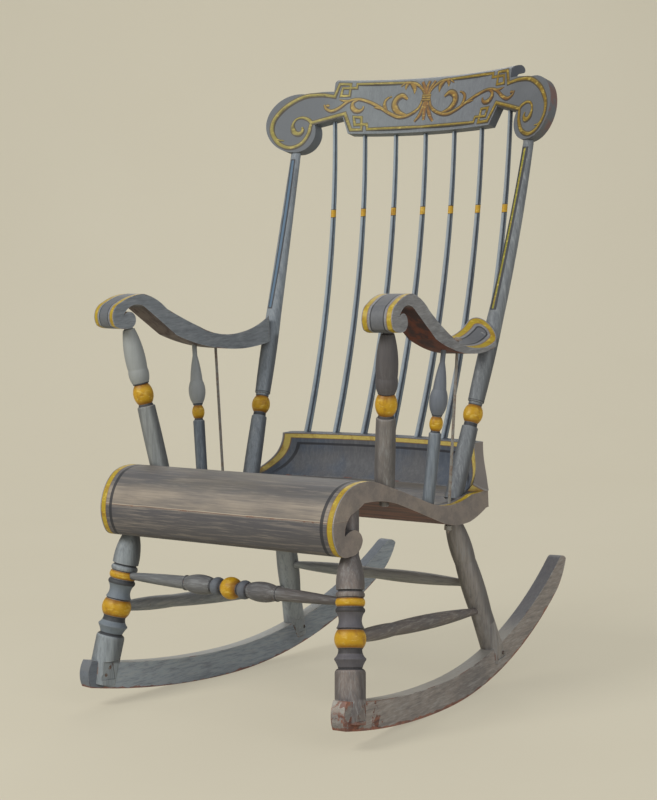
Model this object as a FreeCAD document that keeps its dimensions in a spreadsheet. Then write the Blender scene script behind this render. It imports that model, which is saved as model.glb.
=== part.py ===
import FreeCAD, Part
import Sketcher
import math
import os

# A painted rocking chair with a scrolled crest rail, a rolled plank seat and seven bent spindles.
# +Z is up, the chair faces -Y, and the origin is on the floor under the middle of the chair.
# The right-hand pieces (+X) are made first; the left-hand ones are their mirror images.

# Driving dimensions, in millimetres unless the name says degrees.
SIZES = {
    # fits
    "fit": 0.2,
    "overrun": 10,
    # rockers: two arcs that meet on the floor under the centre of mass
    "rocker_front_radius": 1341,
    "rocker_rear_radius": 729,
    "rocker_height": 46,
    "rocker_thickness": 25,
    "rocker_front_reach": 316.63,
    "rocker_rear_reach": 445.37,
    "rocker_half_gauge": 247.2,
    "rocker_toe_degrees": 6.42,
    "contact_forward": 64.74,
    # seat: side profile and plan
    "seat_front": 338.35,
    "seat_depth": 472,
    "seat_half_width": 258,
    "seat_side_bow": 11,
    "seat_side_draw": 2,
    "seat_bottom": 297,
    "seat_rise": 112.5,
    "corner_radius": 90,
    "corner_degrees": 35,
    # rise board along the back of the seat
    "rise_height": 76,
    "rise_thickness": 22,
    "rise_foot": 39,
    "rise_half_top": 219,
    "rise_half_foot": 262,
    "back_radius": 1128,
    "back_half_arc": 195,
    # legs
    "front_leg_diameter": 50,
    "front_leg_tenon": 28,
    "front_leg_edge": 28,
    "front_leg_setback": 80,
    "front_leg_top_depth": 13,
    "front_leg_foot_forward": 279.77,
    "front_leg_foot_height": 38,
    "rear_leg_diameter": 37.5,
    "rear_leg_tenon": 22,
    "rear_leg_edge": 68,
    "rear_leg_setback": 385,
    "rear_leg_entry": 34,
    "rear_leg_foot_back": 184.73,
    "rear_leg_foot_height": 40,
    "rear_leg_foot_out": 4,
    # flat cheeks of the legs beside the rockers, measured from the rocker's middle
    "front_cheek_half": 21,
    "rear_cheek_half": 17,
    "cheek_recess": 1.5,
    # stretchers
    "front_stretcher_diameter": 35,
    "side_stretcher_diameter": 22,
    "rear_stretcher_diameter": 19,
    "stretcher_stop": 4,
    "peg_diameter": 6,
    # back posts
    "post_diameter": 31,
    "post_edge": 29,
    "post_setback": 340,
    "post_entry": 15,
    "post_knee_half": 252.5,
    "post_knee_back": 124.65,
    "post_knee_height": 640,
    "post_head_half": 265,
    "post_head_width": 20,
    "post_head_depth": 14,
    "post_head_entry": 20,
    # crest rail
    "crest_radius": 800,
    "crest_thickness": 20,
    "crest_back": 268.9,
    "crest_bottom": 963.9,
    "crest_height": 110,
    "crest_half_width": 322,
    "crest_lean_degrees": 17,
    "crest_panel_half": 201,
    # back spindles
    "spindle_foot_diameter": 13,
    "spindle_head_diameter": 8.2,
    "spindle_foot_spacing": 61.5,
    "spindle_head_spacing": 67,
    "spindle_foot_entry": 22,
    "spindle_head_entry": 18,
    # arms, each laid out forwards from its back post
    "arm_length": 369,
    "arm_end_gap": 15.962,
    "arm_end_inward": 23.21,
    "arm_bottom": 587,
    "arm_rise": 115,
    "arm_width": 50,
    "arm_flare": 5,
    "arm_splay_degrees": 8.36,
    "arm_corner_radius": 24,
    "arm_tenon_diameter": 12,
    "arm_tenon_length": 14,
    # arm posts and arm spindles
    "arm_post_diameter": 34.5,
    "arm_post_tenon": 16,
    "arm_post_edge": 12,
    "arm_post_setback": 144,
    "arm_post_foot_rise": 64,
    "arm_post_inward": 32.915,
    "arm_post_along": 44.256,
    "arm_post_head_rise": 73,
    "arm_spindle_diameter": 26.5,
    "arm_spindle_tenon": 8.5,
    "arm_spindle_edge": 6,
    "arm_spindle_setback": 248,
    "arm_spindle_foot_rise": 33,
    "arm_spindle_inward": 19.8,
    "arm_spindle_along": 202.03,
    "arm_spindle_head_rise": 22,
    # iron tie rods from the arm through the seat
    "rod_diameter": 5,
    "rod_setback": 303,
    "rod_foot_drop": 6,
    "rod_along": 250.54,
    "rod_head_rise": 30,
    "rod_head_diameter": 14,
    "nut_diameter": 12,
    "nut_height": 8,
    "dowel_diameter": 10,
    "dowel_length": 30,
}

doc = FreeCAD.newDocument("rocking_chair")
sheet = doc.addObject("Spreadsheet::Sheet", "dims")
for row, (alias, number) in enumerate(SIZES.items(), start=1):
    sheet.set("A%d" % row, alias)
    sheet.set("B%d" % row, str(number))
    sheet.setAlias("B%d" % row, alias)
doc.recompute()


class Size:
    """A size of the chair: its value, and the sheet expression that the feature is bound to."""

    def __init__(self, value, text):
        self.value = value
        self.text = text

    @staticmethod
    def of(other):
        return other if isinstance(other, Size) else Size(float(other), repr(float(other)))

    def __add__(self, other):
        other = Size.of(other)
        return Size(self.value + other.value, "(%s + %s)" % (self.text, other.text))

    def __sub__(self, other):
        other = Size.of(other)
        return Size(self.value - other.value, "(%s - %s)" % (self.text, other.text))

    def __mul__(self, other):
        other = Size.of(other)
        return Size(self.value * other.value, "(%s * %s)" % (self.text, other.text))

    def __truediv__(self, other):
        other = Size.of(other)
        return Size(self.value / other.value, "(%s / %s)" % (self.text, other.text))

    def __neg__(self):
        return Size(-self.value, "(-1 * %s)" % self.text)

    __radd__ = __add__
    __rmul__ = __mul__


class Sizes:
    """The sheet's cells by name, each as a Size."""

    def __getattr__(self, alias):
        return Size(float(sheet.get(alias)), "dims.%s" % alias)


d = Sizes()
ZERO = Size(0.0, "0")


def root(size):
    return Size(math.sqrt(size.value), "sqrt(%s)" % size.text)


def sine(degrees):
    return Size(math.sin(math.radians(degrees.value)), "sin(%s * 1deg)" % degrees.text)


def cosine(degrees):
    return Size(math.cos(math.radians(degrees.value)), "cos(%s * 1deg)" % degrees.text)


def turn_of(half, radius):
    """Twice the angle at which a circle reaches a half width."""
    return Size(math.degrees(math.asin((half / radius).value)) * 2,
                "asin(%s / %s) / 1deg * 2" % (half.text, radius.text))


def distance(start, end):
    """Length of the straight line between two points of the same number of Sizes."""
    total = ZERO
    for a, b in zip(start, end):
        total = total + (b - a) * (b - a)
    return root(total)


def between(start, end, share):
    """The point at a share of the line from start to end."""
    return tuple(a + (b - a) * share for a, b in zip(start, end))


def vector(point):
    return FreeCAD.Vector(*(c.value for c in point))


def bind(item, prop, size):
    item.setExpression(prop, size.text)


def place(item, base, rotation=None):
    """Puts an object at a point given in Sizes, its place bound to the sheet."""
    item.Placement = FreeCAD.Placement(vector(base), rotation or FreeCAD.Rotation())
    for axis, size in zip("xyz", base):
        bind(item, "Placement.Base.%s" % axis, size)


def along(start, end):
    """The rotation that turns +Z to the direction from start to end."""
    return FreeCAD.Rotation(FreeCAD.Vector(0, 0, 1), vector(end) - vector(start))


# Sketches

def plane_of(body, role):
    return next(f for f in body.Origin.OriginFeatures if f.Role == role)


def arc_between(start, end, bulge):
    """Circle arc whose rise is a share of its chord, to the right of travel where positive."""
    chord = end - start
    right = FreeCAD.Vector(chord.y, -chord.x, 0).normalize()
    rise = bulge * chord.Length
    radius = chord.Length * (0.25 + bulge * bulge) / (2 * abs(bulge))
    centre = (start + end) * 0.5 + right * (rise - math.copysign(radius, bulge))
    first, last = (start, end) if bulge > 0 else (end, start)
    a0 = math.atan2(first.y - centre.y, first.x - centre.x)
    a1 = math.atan2(last.y - centre.y, last.x - centre.x)
    if a1 < a0:
        a1 += 2 * math.pi
    return Part.ArcOfCircle(Part.Circle(centre, FreeCAD.Vector(0, 0, 1), radius), a0, a1)


def pin(sketch, kind, geometry, end, size):
    """Holds one coordinate of a point from the sketch's origin, bound to the sheet."""
    if size.value == 0:
        sketch.addConstraint(Sketcher.Constraint(
            "PointOnObject", geometry, end, -2 if kind == "DistanceX" else -1))
        return
    index = sketch.addConstraint(Sketcher.Constraint(kind, -1, 1, geometry, end, size.value))
    sketch.setExpression("Constraints[%d]" % index, size.text)


def draw(body, role, outline, name, offset=None):
    """Closed outline of lines and arcs: each entry is (x, y, bulge to the next point)."""
    sketch = body.newObject("Sketcher::SketchObject", name)
    sketch.AttachmentSupport = (plane_of(body, role), [""])
    sketch.MapMode = "FlatFace"
    if offset is not None:
        sketch.AttachmentOffset = FreeCAD.Placement(
            FreeCAD.Vector(0, 0, offset.value), FreeCAD.Rotation())
        sketch.setExpression("AttachmentOffset.Base.z", offset.text)
    flat = [FreeCAD.Vector(x.value, y.value, 0) for x, y, _ in outline]
    count = len(outline)
    ends = []
    for i, (_, _, bulge) in enumerate(outline):
        start, end = flat[i], flat[(i + 1) % count]
        if bulge == 0:
            sketch.addGeometry(Part.LineSegment(start, end))
        else:
            sketch.addGeometry(arc_between(start, end, bulge))
        ends.append((2, 1) if bulge < 0 else (1, 2))
    for i, (x, y, bulge) in enumerate(outline):
        pin(sketch, "DistanceX", i, ends[i][0], x)
        pin(sketch, "DistanceY", i, ends[i][0], y)
        sketch.addConstraint(Sketcher.Constraint(
            "Coincident", i - 1 if i else count - 1, ends[i - 1][1], i, ends[i][0]))
        if bulge != 0:
            nx, ny, _ = outline[(i + 1) % count]
            reach = (0.25 + bulge * bulge) / (2 * abs(bulge))
            radius = distance((x, y), (nx, ny)) * reach
            index = sketch.addConstraint(Sketcher.Constraint("Radius", i, radius.value))
            sketch.setExpression("Constraints[%d]" % index, radius.text)
    return sketch


def new_body(name):
    return doc.addObject("PartDesign::Body", name)


def pad(name, role, outline, length):
    """A body padded from an outline, half its length to each side of the plane."""
    body = new_body(name)
    feature = body.newObject("PartDesign::Pad", name + "_pad")
    feature.Profile = draw(body, role, outline, name + "_outline")
    feature.Length = length.value
    bind(feature, "Length", length)
    feature.Midplane = True
    return body


def revolve(name, role, outline, axis, degrees=None):
    """A body turned from an outline about one of its sketch's own axes."""
    body = new_body(name)
    feature = body.newObject("PartDesign::Revolution", name + "_turning")
    sketch = draw(body, role, outline, name + "_outline")
    feature.Profile = sketch
    feature.ReferenceAxis = (sketch, [axis])
    feature.Angle = 360.0
    if degrees is not None:
        feature.Angle = degrees.value
        bind(feature, "Angle", degrees)
        feature.Midplane = True
    return body


def turned(name, start, end, diameter, stations):
    """A turned piece on the line from start to end; each station is (length share,
    diameter share, bulge share to the next)."""
    length = distance(start, end)
    outline = [(ZERO, ZERO, 0)]
    for at, width, bulge in stations:
        outline.append((diameter * (width / 2), length * at if at else ZERO, bulge))
    outline.append((ZERO, length, 0))
    body = revolve(name, "XZ_Plane", outline, "V_Axis")
    place(body, start, along(start, end))
    return body


def cylinder(name, start, end, radius, height=None):
    """A cylinder from start towards end, as long as the line unless a height is given."""
    item = doc.addObject("Part::Cylinder", name)
    height = height or distance(start, end)
    item.Radius = radius.value
    item.Height = height.value
    bind(item, "Radius", radius)
    bind(item, "Height", height)
    place(item, start, along(start, end))
    return item


def joined(kind, name, *items):
    item = doc.addObject(kind, name)
    if kind in ("Part::MultiFuse", "Part::MultiCommon"):
        item.Shapes = list(items)
    elif kind == "Part::Compound":
        item.Links = list(items)
    else:
        item.Base, item.Tool = items
    return item


NODES = {}


def node(name, item):
    """Gives a finished piece the label that names its file."""
    item.Label = name
    NODES[name] = item
    return item


def cut(name, item, tools):
    """A piece with its sockets and holes cut."""
    tool = tools[0] if len(tools) == 1 else joined("Part::MultiFuse", name + "_holes", *tools)
    return joined("Part::Cut", name + "_cut", item, tool)


def mirrored(name, item):
    """The left-hand twin of a right-hand piece."""
    twin = doc.addObject("Part::Mirroring", name + "_twin")
    twin.Source = item
    twin.Normal = FreeCAD.Vector(1, 0, 0)
    return node(name, twin)


def pair(stem, item):
    node(stem + "_right", item)
    mirrored(stem + "_left", item)


fit = d.fit

# Rocker: a band between two pairs of arcs, in a plane that toes in towards the back.
contact = (d.rocker_half_gauge, -d.contact_forward, ZERO)
toe = d.rocker_toe_degrees


nose_slope_share = 0.12
nose_bulge_share = 0.14
tail_sole_share = 0.903
tail_sole_bulge_share = 0.07
tail_tip_share = 1.285
tail_top_share = 0.945
tail_tip_bulge_share = 0.20


def fall(radius, reach):
    """How far an arc's lowest point lies below the arc at a reach."""
    return radius - root(radius * radius - reach * reach)


def arc_bulge(reach, radius):
    """Bulge share of the arc from its lowest point out to a reach."""
    return math.tan(math.asin(reach.value / radius.value) / 4) / 2


def rocker_outline():
    """Side view: a front and a rear sole arc, a blunt nose and a tail that thins to its tip."""
    front, rear, high = d.rocker_front_radius, d.rocker_rear_radius, d.rocker_height
    nose = d.rocker_front_reach - high * nose_slope_share
    nose_top = nose - high * nose_slope_share
    tail = d.rocker_rear_reach
    tail_sole, tail_top = tail * tail_sole_share, tail * tail_top_share
    front_top = front - high
    return [
        (-nose, fall(front, nose), arc_bulge(nose, front)),
        (ZERO, ZERO, arc_bulge(tail_sole, rear)),
        (tail_sole, fall(rear, tail_sole), tail_sole_bulge_share),
        (tail, fall(rear, tail_sole) + high * (tail_tip_share - nose_slope_share),
         tail_tip_bulge_share),
        (tail_top, high + fall(rear, tail_top), -arc_bulge(tail_top, rear)),
        (ZERO, high, -arc_bulge(nose_top, front_top)),
        (-nose_top, high + fall(front_top, nose_top), nose_bulge_share),
    ]


def rocker_blank(name, thickness):
    body = pad(name, "YZ_Plane", rocker_outline(), thickness)
    place(body, contact, FreeCAD.Rotation(FreeCAD.Vector(0, 0, 1), toe.value))
    return body


def on_rocker(reach, height):
    """A point above the rocker's middle plane, a reach behind the contact point."""
    return (contact[0] - reach * sine(toe), contact[1] + reach * cosine(toe), height)


rocker = rocker_blank("rocker_body", d.rocker_thickness)
rocker_slot = rocker_blank("rocker_slot", d.rocker_thickness + fit * 2)

# Leg axes, from foot to head.
front_foot = on_rocker(-d.front_leg_foot_forward, d.front_leg_foot_height)
front_head = (d.seat_half_width - d.front_leg_edge, d.front_leg_setback - d.seat_front,
              d.seat_bottom + d.seat_rise - d.front_leg_top_depth)
rear_foot_middle = on_rocker(d.rear_leg_foot_back, d.rear_leg_foot_height)
rear_foot = (rear_foot_middle[0] + d.rear_leg_foot_out,) + rear_foot_middle[1:]
rear_head = (d.seat_half_width - d.rear_leg_edge, d.rear_leg_setback - d.seat_front,
             d.seat_bottom + d.rear_leg_entry)

front_tenon_share = (d.front_leg_tenon / d.front_leg_diameter).value
FRONT_LEG_SHARES = [
    (0.000, 0.98, 0), (0.216, 0.98, 0.17), (0.236, 0.76, -0.05), (0.272, 1.01, 0.10),
    (0.279, 1.00, -0.12), (0.316, 0.76, 0), (0.322, 0.82, 0.17), (0.398, 0.82, 0),
    (0.402, 0.80, 0), (0.406, 0.89, -0.16), (0.470, 0.88, 0.25), (0.492, 0.84, 0),
    (0.496, 0.84, 0.20), (0.532, 0.84, 0), (0.534, 0.81, 0), (0.536, 0.88, 0.20),
    (0.558, 0.84, 0), (0.560, 0.78, 0), (0.566, 0.78, 0), (0.568, 0.90, 0.05),
    (0.700, 0.62, 0), (0.715, front_tenon_share, 0), (1.000, front_tenon_share, 0),
]
rear_tenon_share = (d.rear_leg_tenon / d.rear_leg_diameter).value
REAR_LEG_SHARES = [
    (0.00, 1.06, 0), (0.30, 0.98, 0.02), (0.62, 0.98, 0.05),
    (0.90, rear_tenon_share, 0), (1.00, rear_tenon_share, 0),
]
front_leg = turned("front_leg_body", front_foot, front_head, d.front_leg_diameter,
                   FRONT_LEG_SHARES)
rear_leg = turned("rear_leg_body", rear_foot, rear_head, d.rear_leg_diameter, REAR_LEG_SHARES)


def flip(point):
    return (-point[0], point[1], point[2])


# Stretchers: each tenon stops a named length short of the axis of the leg it enters.
FRONT_LEG_SHARE_OF_FRONT_STRETCHER = 0.513
FRONT_LEG_SHARE_OF_SIDE_STRETCHER = 0.362
REAR_LEG_SHARE_OF_SIDE_STRETCHER = 0.316
REAR_LEG_SHARE_OF_REAR_STRETCHER = 0.482

front_bar_axis = between(front_foot, front_head, FRONT_LEG_SHARE_OF_FRONT_STRETCHER)
rear_bar_axis = between(rear_foot, rear_head, REAR_LEG_SHARE_OF_REAR_STRETCHER)
side_front_axis = between(front_foot, front_head, FRONT_LEG_SHARE_OF_SIDE_STRETCHER)
side_rear_axis = between(rear_foot, rear_head, REAR_LEG_SHARE_OF_SIDE_STRETCHER)

front_bar_end_share = 0.37
rear_bar_end_share = 0.70
side_bar_front_share = 0.82
side_bar_rear_share = 0.54
FRONT_BAR_HALF_SHARES = [
    (0.000, front_bar_end_share, 0), (0.045, front_bar_end_share, 0.005), (0.288, 0.64, 0),
    (0.291, 0.70, 0.20), (0.299, 0.70, 0), (0.301, 0.66, 0.08), (0.414, 0.74, 0),
    (0.417, 0.64, 0), (0.423, 0.64, 0), (0.425, 0.74, 0.20), (0.454, 0.74, 0),
    (0.457, 0.60, 0), (0.467, 0.60, 0.25),
]
FRONT_BAR_SHARES = FRONT_BAR_HALF_SHARES + [
    (1 - at, width, bulge) for (at, width, _), bulge in zip(
        FRONT_BAR_HALF_SHARES[::-1], [b for _, _, b in FRONT_BAR_HALF_SHARES[-2::-1]] + [0])]
REAR_BAR_SHARES = [
    (0.00, rear_bar_end_share, 0), (0.06, rear_bar_end_share, 0.015), (0.50, 1.00, 0.015),
    (0.94, rear_bar_end_share, 0), (1.00, rear_bar_end_share, 0),
]
SIDE_BAR_SHARES = [
    (0.00, side_bar_front_share, 0), (0.05, side_bar_front_share, 0.02), (0.30, 1.00, 0.015),
    (0.94, side_bar_rear_share, 0), (1.00, side_bar_rear_share, 0),
]


def inset(start, end, depth):
    """Moves start towards end by a length, so that a tenon stops short of a leg's axis."""
    whole = distance(start, end)
    return tuple(a + (b - a) * depth / whole for a, b in zip(start, end))


tenon_stop = d.stretcher_stop
front_bar_start = inset(flip(front_bar_axis), front_bar_axis, tenon_stop)
front_bar_end = inset(front_bar_axis, flip(front_bar_axis), tenon_stop)
rear_bar_start = inset(flip(rear_bar_axis), rear_bar_axis, tenon_stop)
rear_bar_end = inset(rear_bar_axis, flip(rear_bar_axis), tenon_stop)
side_bar_start = inset(side_front_axis, side_rear_axis, tenon_stop)
side_bar_end = inset(side_rear_axis, side_front_axis, tenon_stop)

front_stretcher = turned("front_stretcher_body", front_bar_start, front_bar_end,
                         d.front_stretcher_diameter, FRONT_BAR_SHARES)
rear_stretcher = turned("rear_stretcher_body", rear_bar_start, rear_bar_end,
                        d.rear_stretcher_diameter, REAR_BAR_SHARES)
side_stretcher = turned("side_stretcher_body", side_bar_start, side_bar_end,
                        d.side_stretcher_diameter, SIDE_BAR_SHARES)
node("front_stretcher", front_stretcher)
node("rear_stretcher", rear_stretcher)
pair("side_stretcher", side_stretcher)


def bar_socket(name, stop, other, diameter):
    """Socket that holds a stretcher's end, from its stop out through the leg's wall."""
    return cylinder(name, inset(stop, other, -fit), other, diameter / 2 + fit,
                    d.front_leg_diameter)


front_bar_tenon = d.front_stretcher_diameter * front_bar_end_share
rear_bar_tenon = d.rear_stretcher_diameter * rear_bar_end_share
side_bar_front_tenon = d.side_stretcher_diameter * side_bar_front_share
side_bar_rear_tenon = d.side_stretcher_diameter * side_bar_rear_share

# Pegs through the cheeks of the legs and the rocker between them.
across = (cosine(toe), sine(toe), ZERO)


def peg(name, point, length, radius):
    """A round peg square to the rocker, centred on a point."""
    half = length / 2
    start = tuple(p - a * half for p, a in zip(point, across))
    end = tuple(p + a * half for p, a in zip(point, across))
    return cylinder(name, start, end, radius)


def shifted(point, back, up):
    return (point[0] - back * sine(toe), point[1] + back * cosine(toe), point[2] + up)


# Pegs of each leg, in shares of the rocker's height behind and above the leg's foot.
LOW_PEG_SHARES = (-0.06, 0.36)
HIGH_PEG_SHARES = (0.13, 0.62)
REAR_PEG_SHARES = (0.12, 0.30)
peg_proud_share = 0.3
peg_proud = d.cheek_recess * peg_proud_share


def on_cheek(foot, shares):
    back, up = shares
    return shifted(foot, d.rocker_height * back, d.rocker_height * up)


front_peg_length = (d.front_cheek_half - d.cheek_recess + peg_proud) * 2
rear_peg_length = (d.rear_cheek_half - d.cheek_recess + peg_proud) * 2
PEGS = [
    ("front_low", on_cheek(front_foot, LOW_PEG_SHARES), front_peg_length),
    ("front_high", on_cheek(front_foot, HIGH_PEG_SHARES), front_peg_length),
    ("rear", on_cheek(rear_foot, REAR_PEG_SHARES), rear_peg_length),
]


def cheek_cutter(name, reach, shares, half):
    """Cuts both cheeks of a leg back to a distance from the rocker's middle, inside an
    outline given in shares of the rocker's height behind the leg's reach and above the floor."""
    outline = [(reach + d.rocker_height * y, d.rocker_height * z, 0) for y, z in shares]
    wide = pad(name + "_wide", "YZ_Plane", outline, d.front_leg_diameter * 2)
    kept = pad(name + "_kept", "YZ_Plane", outline, half * 2)
    for body in (wide, kept):
        place(body, contact, FreeCAD.Rotation(FreeCAD.Vector(0, 0, 1), toe.value))
    return joined("Part::Cut", name, wide, kept)


FLAT_SHARES = [(-1.2, 0.1), (1.2, 0.1), (1.2, 1.70), (-1.2, 1.70)]
FRONT_TRIANGLE_SHARES = [(-0.50, 1.04), (0.34, 0.96), (0.27, 1.60)]
REAR_FLAT_SHARES = [(-1.2, 0.1), (1.2, 0.1), (1.2, 1.56), (-1.2, 1.56)]
REAR_TRIANGLE_SHARES = [(-0.36, 0.95), (0.50, 1.06), (0.16, 1.45)]
front_recess = d.front_cheek_half - d.cheek_recess
rear_recess = d.rear_cheek_half - d.cheek_recess
front_cheeks = [
    cheek_cutter("front_flat", -d.front_leg_foot_forward, FLAT_SHARES, d.front_cheek_half),
    cheek_cutter("front_triangle", -d.front_leg_foot_forward, FRONT_TRIANGLE_SHARES, front_recess),
]
rear_cheeks = [
    cheek_cutter("rear_flat", d.rear_leg_foot_back, REAR_FLAT_SHARES, d.rear_cheek_half),
    cheek_cutter("rear_triangle", d.rear_leg_foot_back, REAR_TRIANGLE_SHARES, rear_recess),
]
peg_solids = []
peg_holes = []
for label, point, length in PEGS:
    solid = peg("peg_" + label, point, length, d.peg_diameter / 2)
    twin = doc.addObject("Part::Mirroring", "peg_" + label + "_twin")
    twin.Source = solid
    twin.Normal = FreeCAD.Vector(1, 0, 0)
    peg_solids += [solid, twin]
    peg_holes.append(peg("hole_" + label, point, d.front_leg_diameter * 2,
                         d.peg_diameter / 2 + fit))
node("rocker_pegs", joined("Part::Compound", "rocker_peg_set", *peg_solids))
pair("rocker", cut("rocker", rocker, peg_holes))
pair("front_leg", cut("front_leg", front_leg, [
    rocker_slot,
    bar_socket("front_bar_socket", front_bar_end, front_bar_start, front_bar_tenon),
    bar_socket("side_bar_socket", side_bar_start, side_bar_end, side_bar_front_tenon),
    peg_holes[0], peg_holes[1],
] + front_cheeks))
pair("rear_leg", cut("rear_leg", rear_leg, [
    rocker_slot,
    bar_socket("rear_bar_socket", rear_bar_end, rear_bar_start, rear_bar_tenon),
    bar_socket("side_bar_rear_socket", side_bar_end, side_bar_start, side_bar_rear_tenon),
    peg_holes[2],
] + rear_cheeks))

# Back curve in plan: a wide arc, then a tighter corner towards each side of the seat.
back_line = d.seat_depth - d.seat_front
half_arc = d.back_half_arc
turn = turn_of(half_arc, d.back_radius) / 2
arc_end = (half_arc, back_line - d.back_radius + d.back_radius * cosine(turn))
corner_centre = (arc_end[0] - d.corner_radius * sine(turn),
                 arc_end[1] - d.corner_radius * cosine(turn))
far_turn = turn + d.corner_degrees
corner_end = (corner_centre[0] + d.corner_radius * sine(far_turn),
              corner_centre[1] + d.corner_radius * cosine(far_turn))
side_end_x = d.seat_half_width - d.seat_side_draw
side_end = (side_end_x,
            corner_end[1] - (side_end_x - corner_end[0]) * sine(far_turn) / cosine(far_turn))


def bulge_of(degrees):
    """Bulge share of an arc that turns through an angle."""
    return math.tan(math.radians(degrees) / 4) / 2


def seat_plan():
    """Plan of the seat, from its front right corner round the back; counter-clockwise."""
    wide, front = d.seat_half_width, -d.seat_front - d.overrun
    length = (side_end[1] - front).value
    bow = d.seat_side_bow.value / length
    corner = bulge_of(d.corner_degrees.value)
    return [
        (-wide, front, 0),
        (wide, front, bow),
        (side_end[0], side_end[1], 0),
        (corner_end[0], corner_end[1], corner),
        (arc_end[0], arc_end[1], bulge_of(2 * turn.value)),
        (-arc_end[0], arc_end[1], corner),
        (-corner_end[0], corner_end[1], 0),
        (-side_end[0], side_end[1], bow),
    ]


def seat_point(depth_share, height_share, bulge=0):
    return (-d.seat_front + d.seat_depth * depth_share,
            d.seat_bottom + d.seat_rise * height_share, bulge)


PLANK_SHARES = [
    (0.000, 0.498, 0), (0.085, 0.578, 0.03), (0.152, 0.702, -0.055), (0.350, 0.542, 0),
    (0.589, 0.125, 0.045), (0.750, 0.053, 0.03), (0.865, 0.190, 0.04), (1.020, 0.300, 0),
    (1.020, 0.453, 0), (0.765, 0.453, -0.09), (0.472, 0.542, 0.005), (0.225, 0.951, 0.093),
    (0.081, 0.942, 0.11),
]
ROLL_SHARES = [
    (0.085, 0.578, 0), (0.000, 0.498, 0.10), (0.019, 0.071, 0.15), (0.072, 0.000, 0.20),
    (0.136, 0.187, 0.207), (0.089, 0.356, 0.08), (0.051, 0.285, -0.12),
]
glue_share = 0.453
seat_width = d.seat_half_width * 2 + d.seat_side_bow * 4


def common(name, *items):
    return joined("Part::MultiCommon", name, *items)


plan = pad("seat_plan", "XY_Plane", seat_plan(), (d.seat_bottom + d.seat_rise) * 2)
plank = common("seat_plank_blank", plan, pad(
    "plank_profile", "YZ_Plane", [seat_point(*p) for p in PLANK_SHARES], seat_width))
roll = common("seat_roll_blank", plan, pad(
    "roll_profile", "YZ_Plane", [seat_point(*p) for p in ROLL_SHARES], seat_width))

# Rise board: one section carried round the back curve, with its ends swept in.
rise_base = d.seat_bottom + d.seat_rise * glue_share


def rise_section(radius):
    """Section of the rise board, its back foot at a radius: (out, up, bulge)."""
    half, high, foot = d.rise_thickness / 2, d.rise_height, d.rise_foot
    return [
        (radius - foot, ZERO, 0), (radius, ZERO, 0), (radius + half, high, 0),
        (radius - half, high, -0.02), (radius - half * 1.2, high * 0.6, -0.09),
    ]


rise_middle = revolve("rise_middle", "YZ_Plane", rise_section(d.back_radius), "V_Axis", turn * 2)
place(rise_middle, (ZERO, back_line - d.back_radius, rise_base))
rise_corner = revolve("rise_corner", "YZ_Plane", rise_section(d.corner_radius), "V_Axis",
                      d.corner_degrees)
place(rise_corner, corner_centre + (rise_base,),
      FreeCAD.Rotation(FreeCAD.Vector(0, 0, 1), -(turn + d.corner_degrees / 2).value))
straight = distance(corner_end, side_end) + d.overrun
straight_middle = tuple(
    a + (b - a) * straight / 2 / distance(corner_end, side_end)
    for a, b in zip(corner_end, side_end))
rise_straight = pad("rise_straight", "YZ_Plane", rise_section(ZERO), straight)
place(rise_straight, straight_middle + (rise_base,),
      FreeCAD.Rotation(FreeCAD.Vector(0, 0, 1), -far_turn.value))
rise_right = joined("Part::MultiFuse", "rise_right", rise_corner, rise_straight)
rise_left = doc.addObject("Part::Mirroring", "rise_left")
rise_left.Source = rise_right
rise_left.Normal = FreeCAD.Vector(1, 0, 0)
rise_round = joined("Part::MultiFuse", "rise_round", rise_middle, rise_right, rise_left)


def rise_front():
    """Front view of the rise board: a straight top and ends that sweep out to the foot."""
    low, high = rise_base - d.overrun, rise_base + d.rise_height + d.overrun
    foot, top_x = d.rise_half_foot, d.rise_half_top
    return [
        (-foot, low, 0), (foot, low, 0), (foot, rise_base, -0.12),
        (top_x, rise_base + d.rise_height, 0), (top_x, high, 0), (-top_x, high, 0),
        (-top_x, rise_base + d.rise_height, -0.12), (-foot, rise_base, 0),
    ]


rise = common("rise_blank", rise_round,
              pad("rise_front", "XZ_Plane", rise_front(), d.seat_depth * 2))

# Crest rail: a slab bent about an axis in front of it, cut to a scrolled outline.
slab_spare_share = 1.05


crest_turn = turn_of(d.crest_half_width, d.crest_radius) * slab_spare_share
panel_turn = turn_of(d.crest_panel_half, d.crest_radius)
lean = d.crest_lean_degrees
crest_rotation = FreeCAD.Rotation(FreeCAD.Vector(1, 0, 0), -lean.value)
crest_origin = (ZERO, d.crest_back - d.crest_radius * cosine(lean),
                d.crest_bottom + d.crest_radius * sine(lean))

CREST_HALF_SHARES = [
    (0.500, 0.010, 0), (0.547, 0.300, 0), (0.716, 0.155, 0.29), (0.826, -0.350, 0.21),
    (1.000, 0.127, 0.22), (0.792, 0.682, 0.03), (0.634, 0.745, 0),
]
slab_bottom_share = 0.45
slab_top_share = 0.90
# Section of the rolled panel top: (thickness share, height share, bulge share to the next).
CREST_ROLL_SHARES = [
    (0.00, 0.50, 0), (0.90, 0.50, 0), (0.75, 0.80, -0.12), (1.25, 0.89, 0.35),
    (1.55, 0.96, 0.20), (0.90, 1.00, 0.08), (0.00, 0.90, 0),
]


def crest_outline():
    """Front outline of the crest rail, right half and its mirror image."""
    right = [(d.crest_half_width * x, d.crest_height * z, b) for x, z, b in CREST_HALF_SHARES]
    bulges = [b for _, _, b in right]
    mirror = [(-x, z, b) for (x, z, _), b in zip(right[::-1], bulges[-2::-1] + [0])]
    return right + mirror


def crest_slab():
    near, far = d.crest_radius, d.crest_radius + d.crest_thickness
    low, high = -d.crest_height * slab_bottom_share, d.crest_height * slab_top_share
    return [(near, low, 0), (far, low, 0), (far, high, 0), (near, high, 0)]


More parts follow.
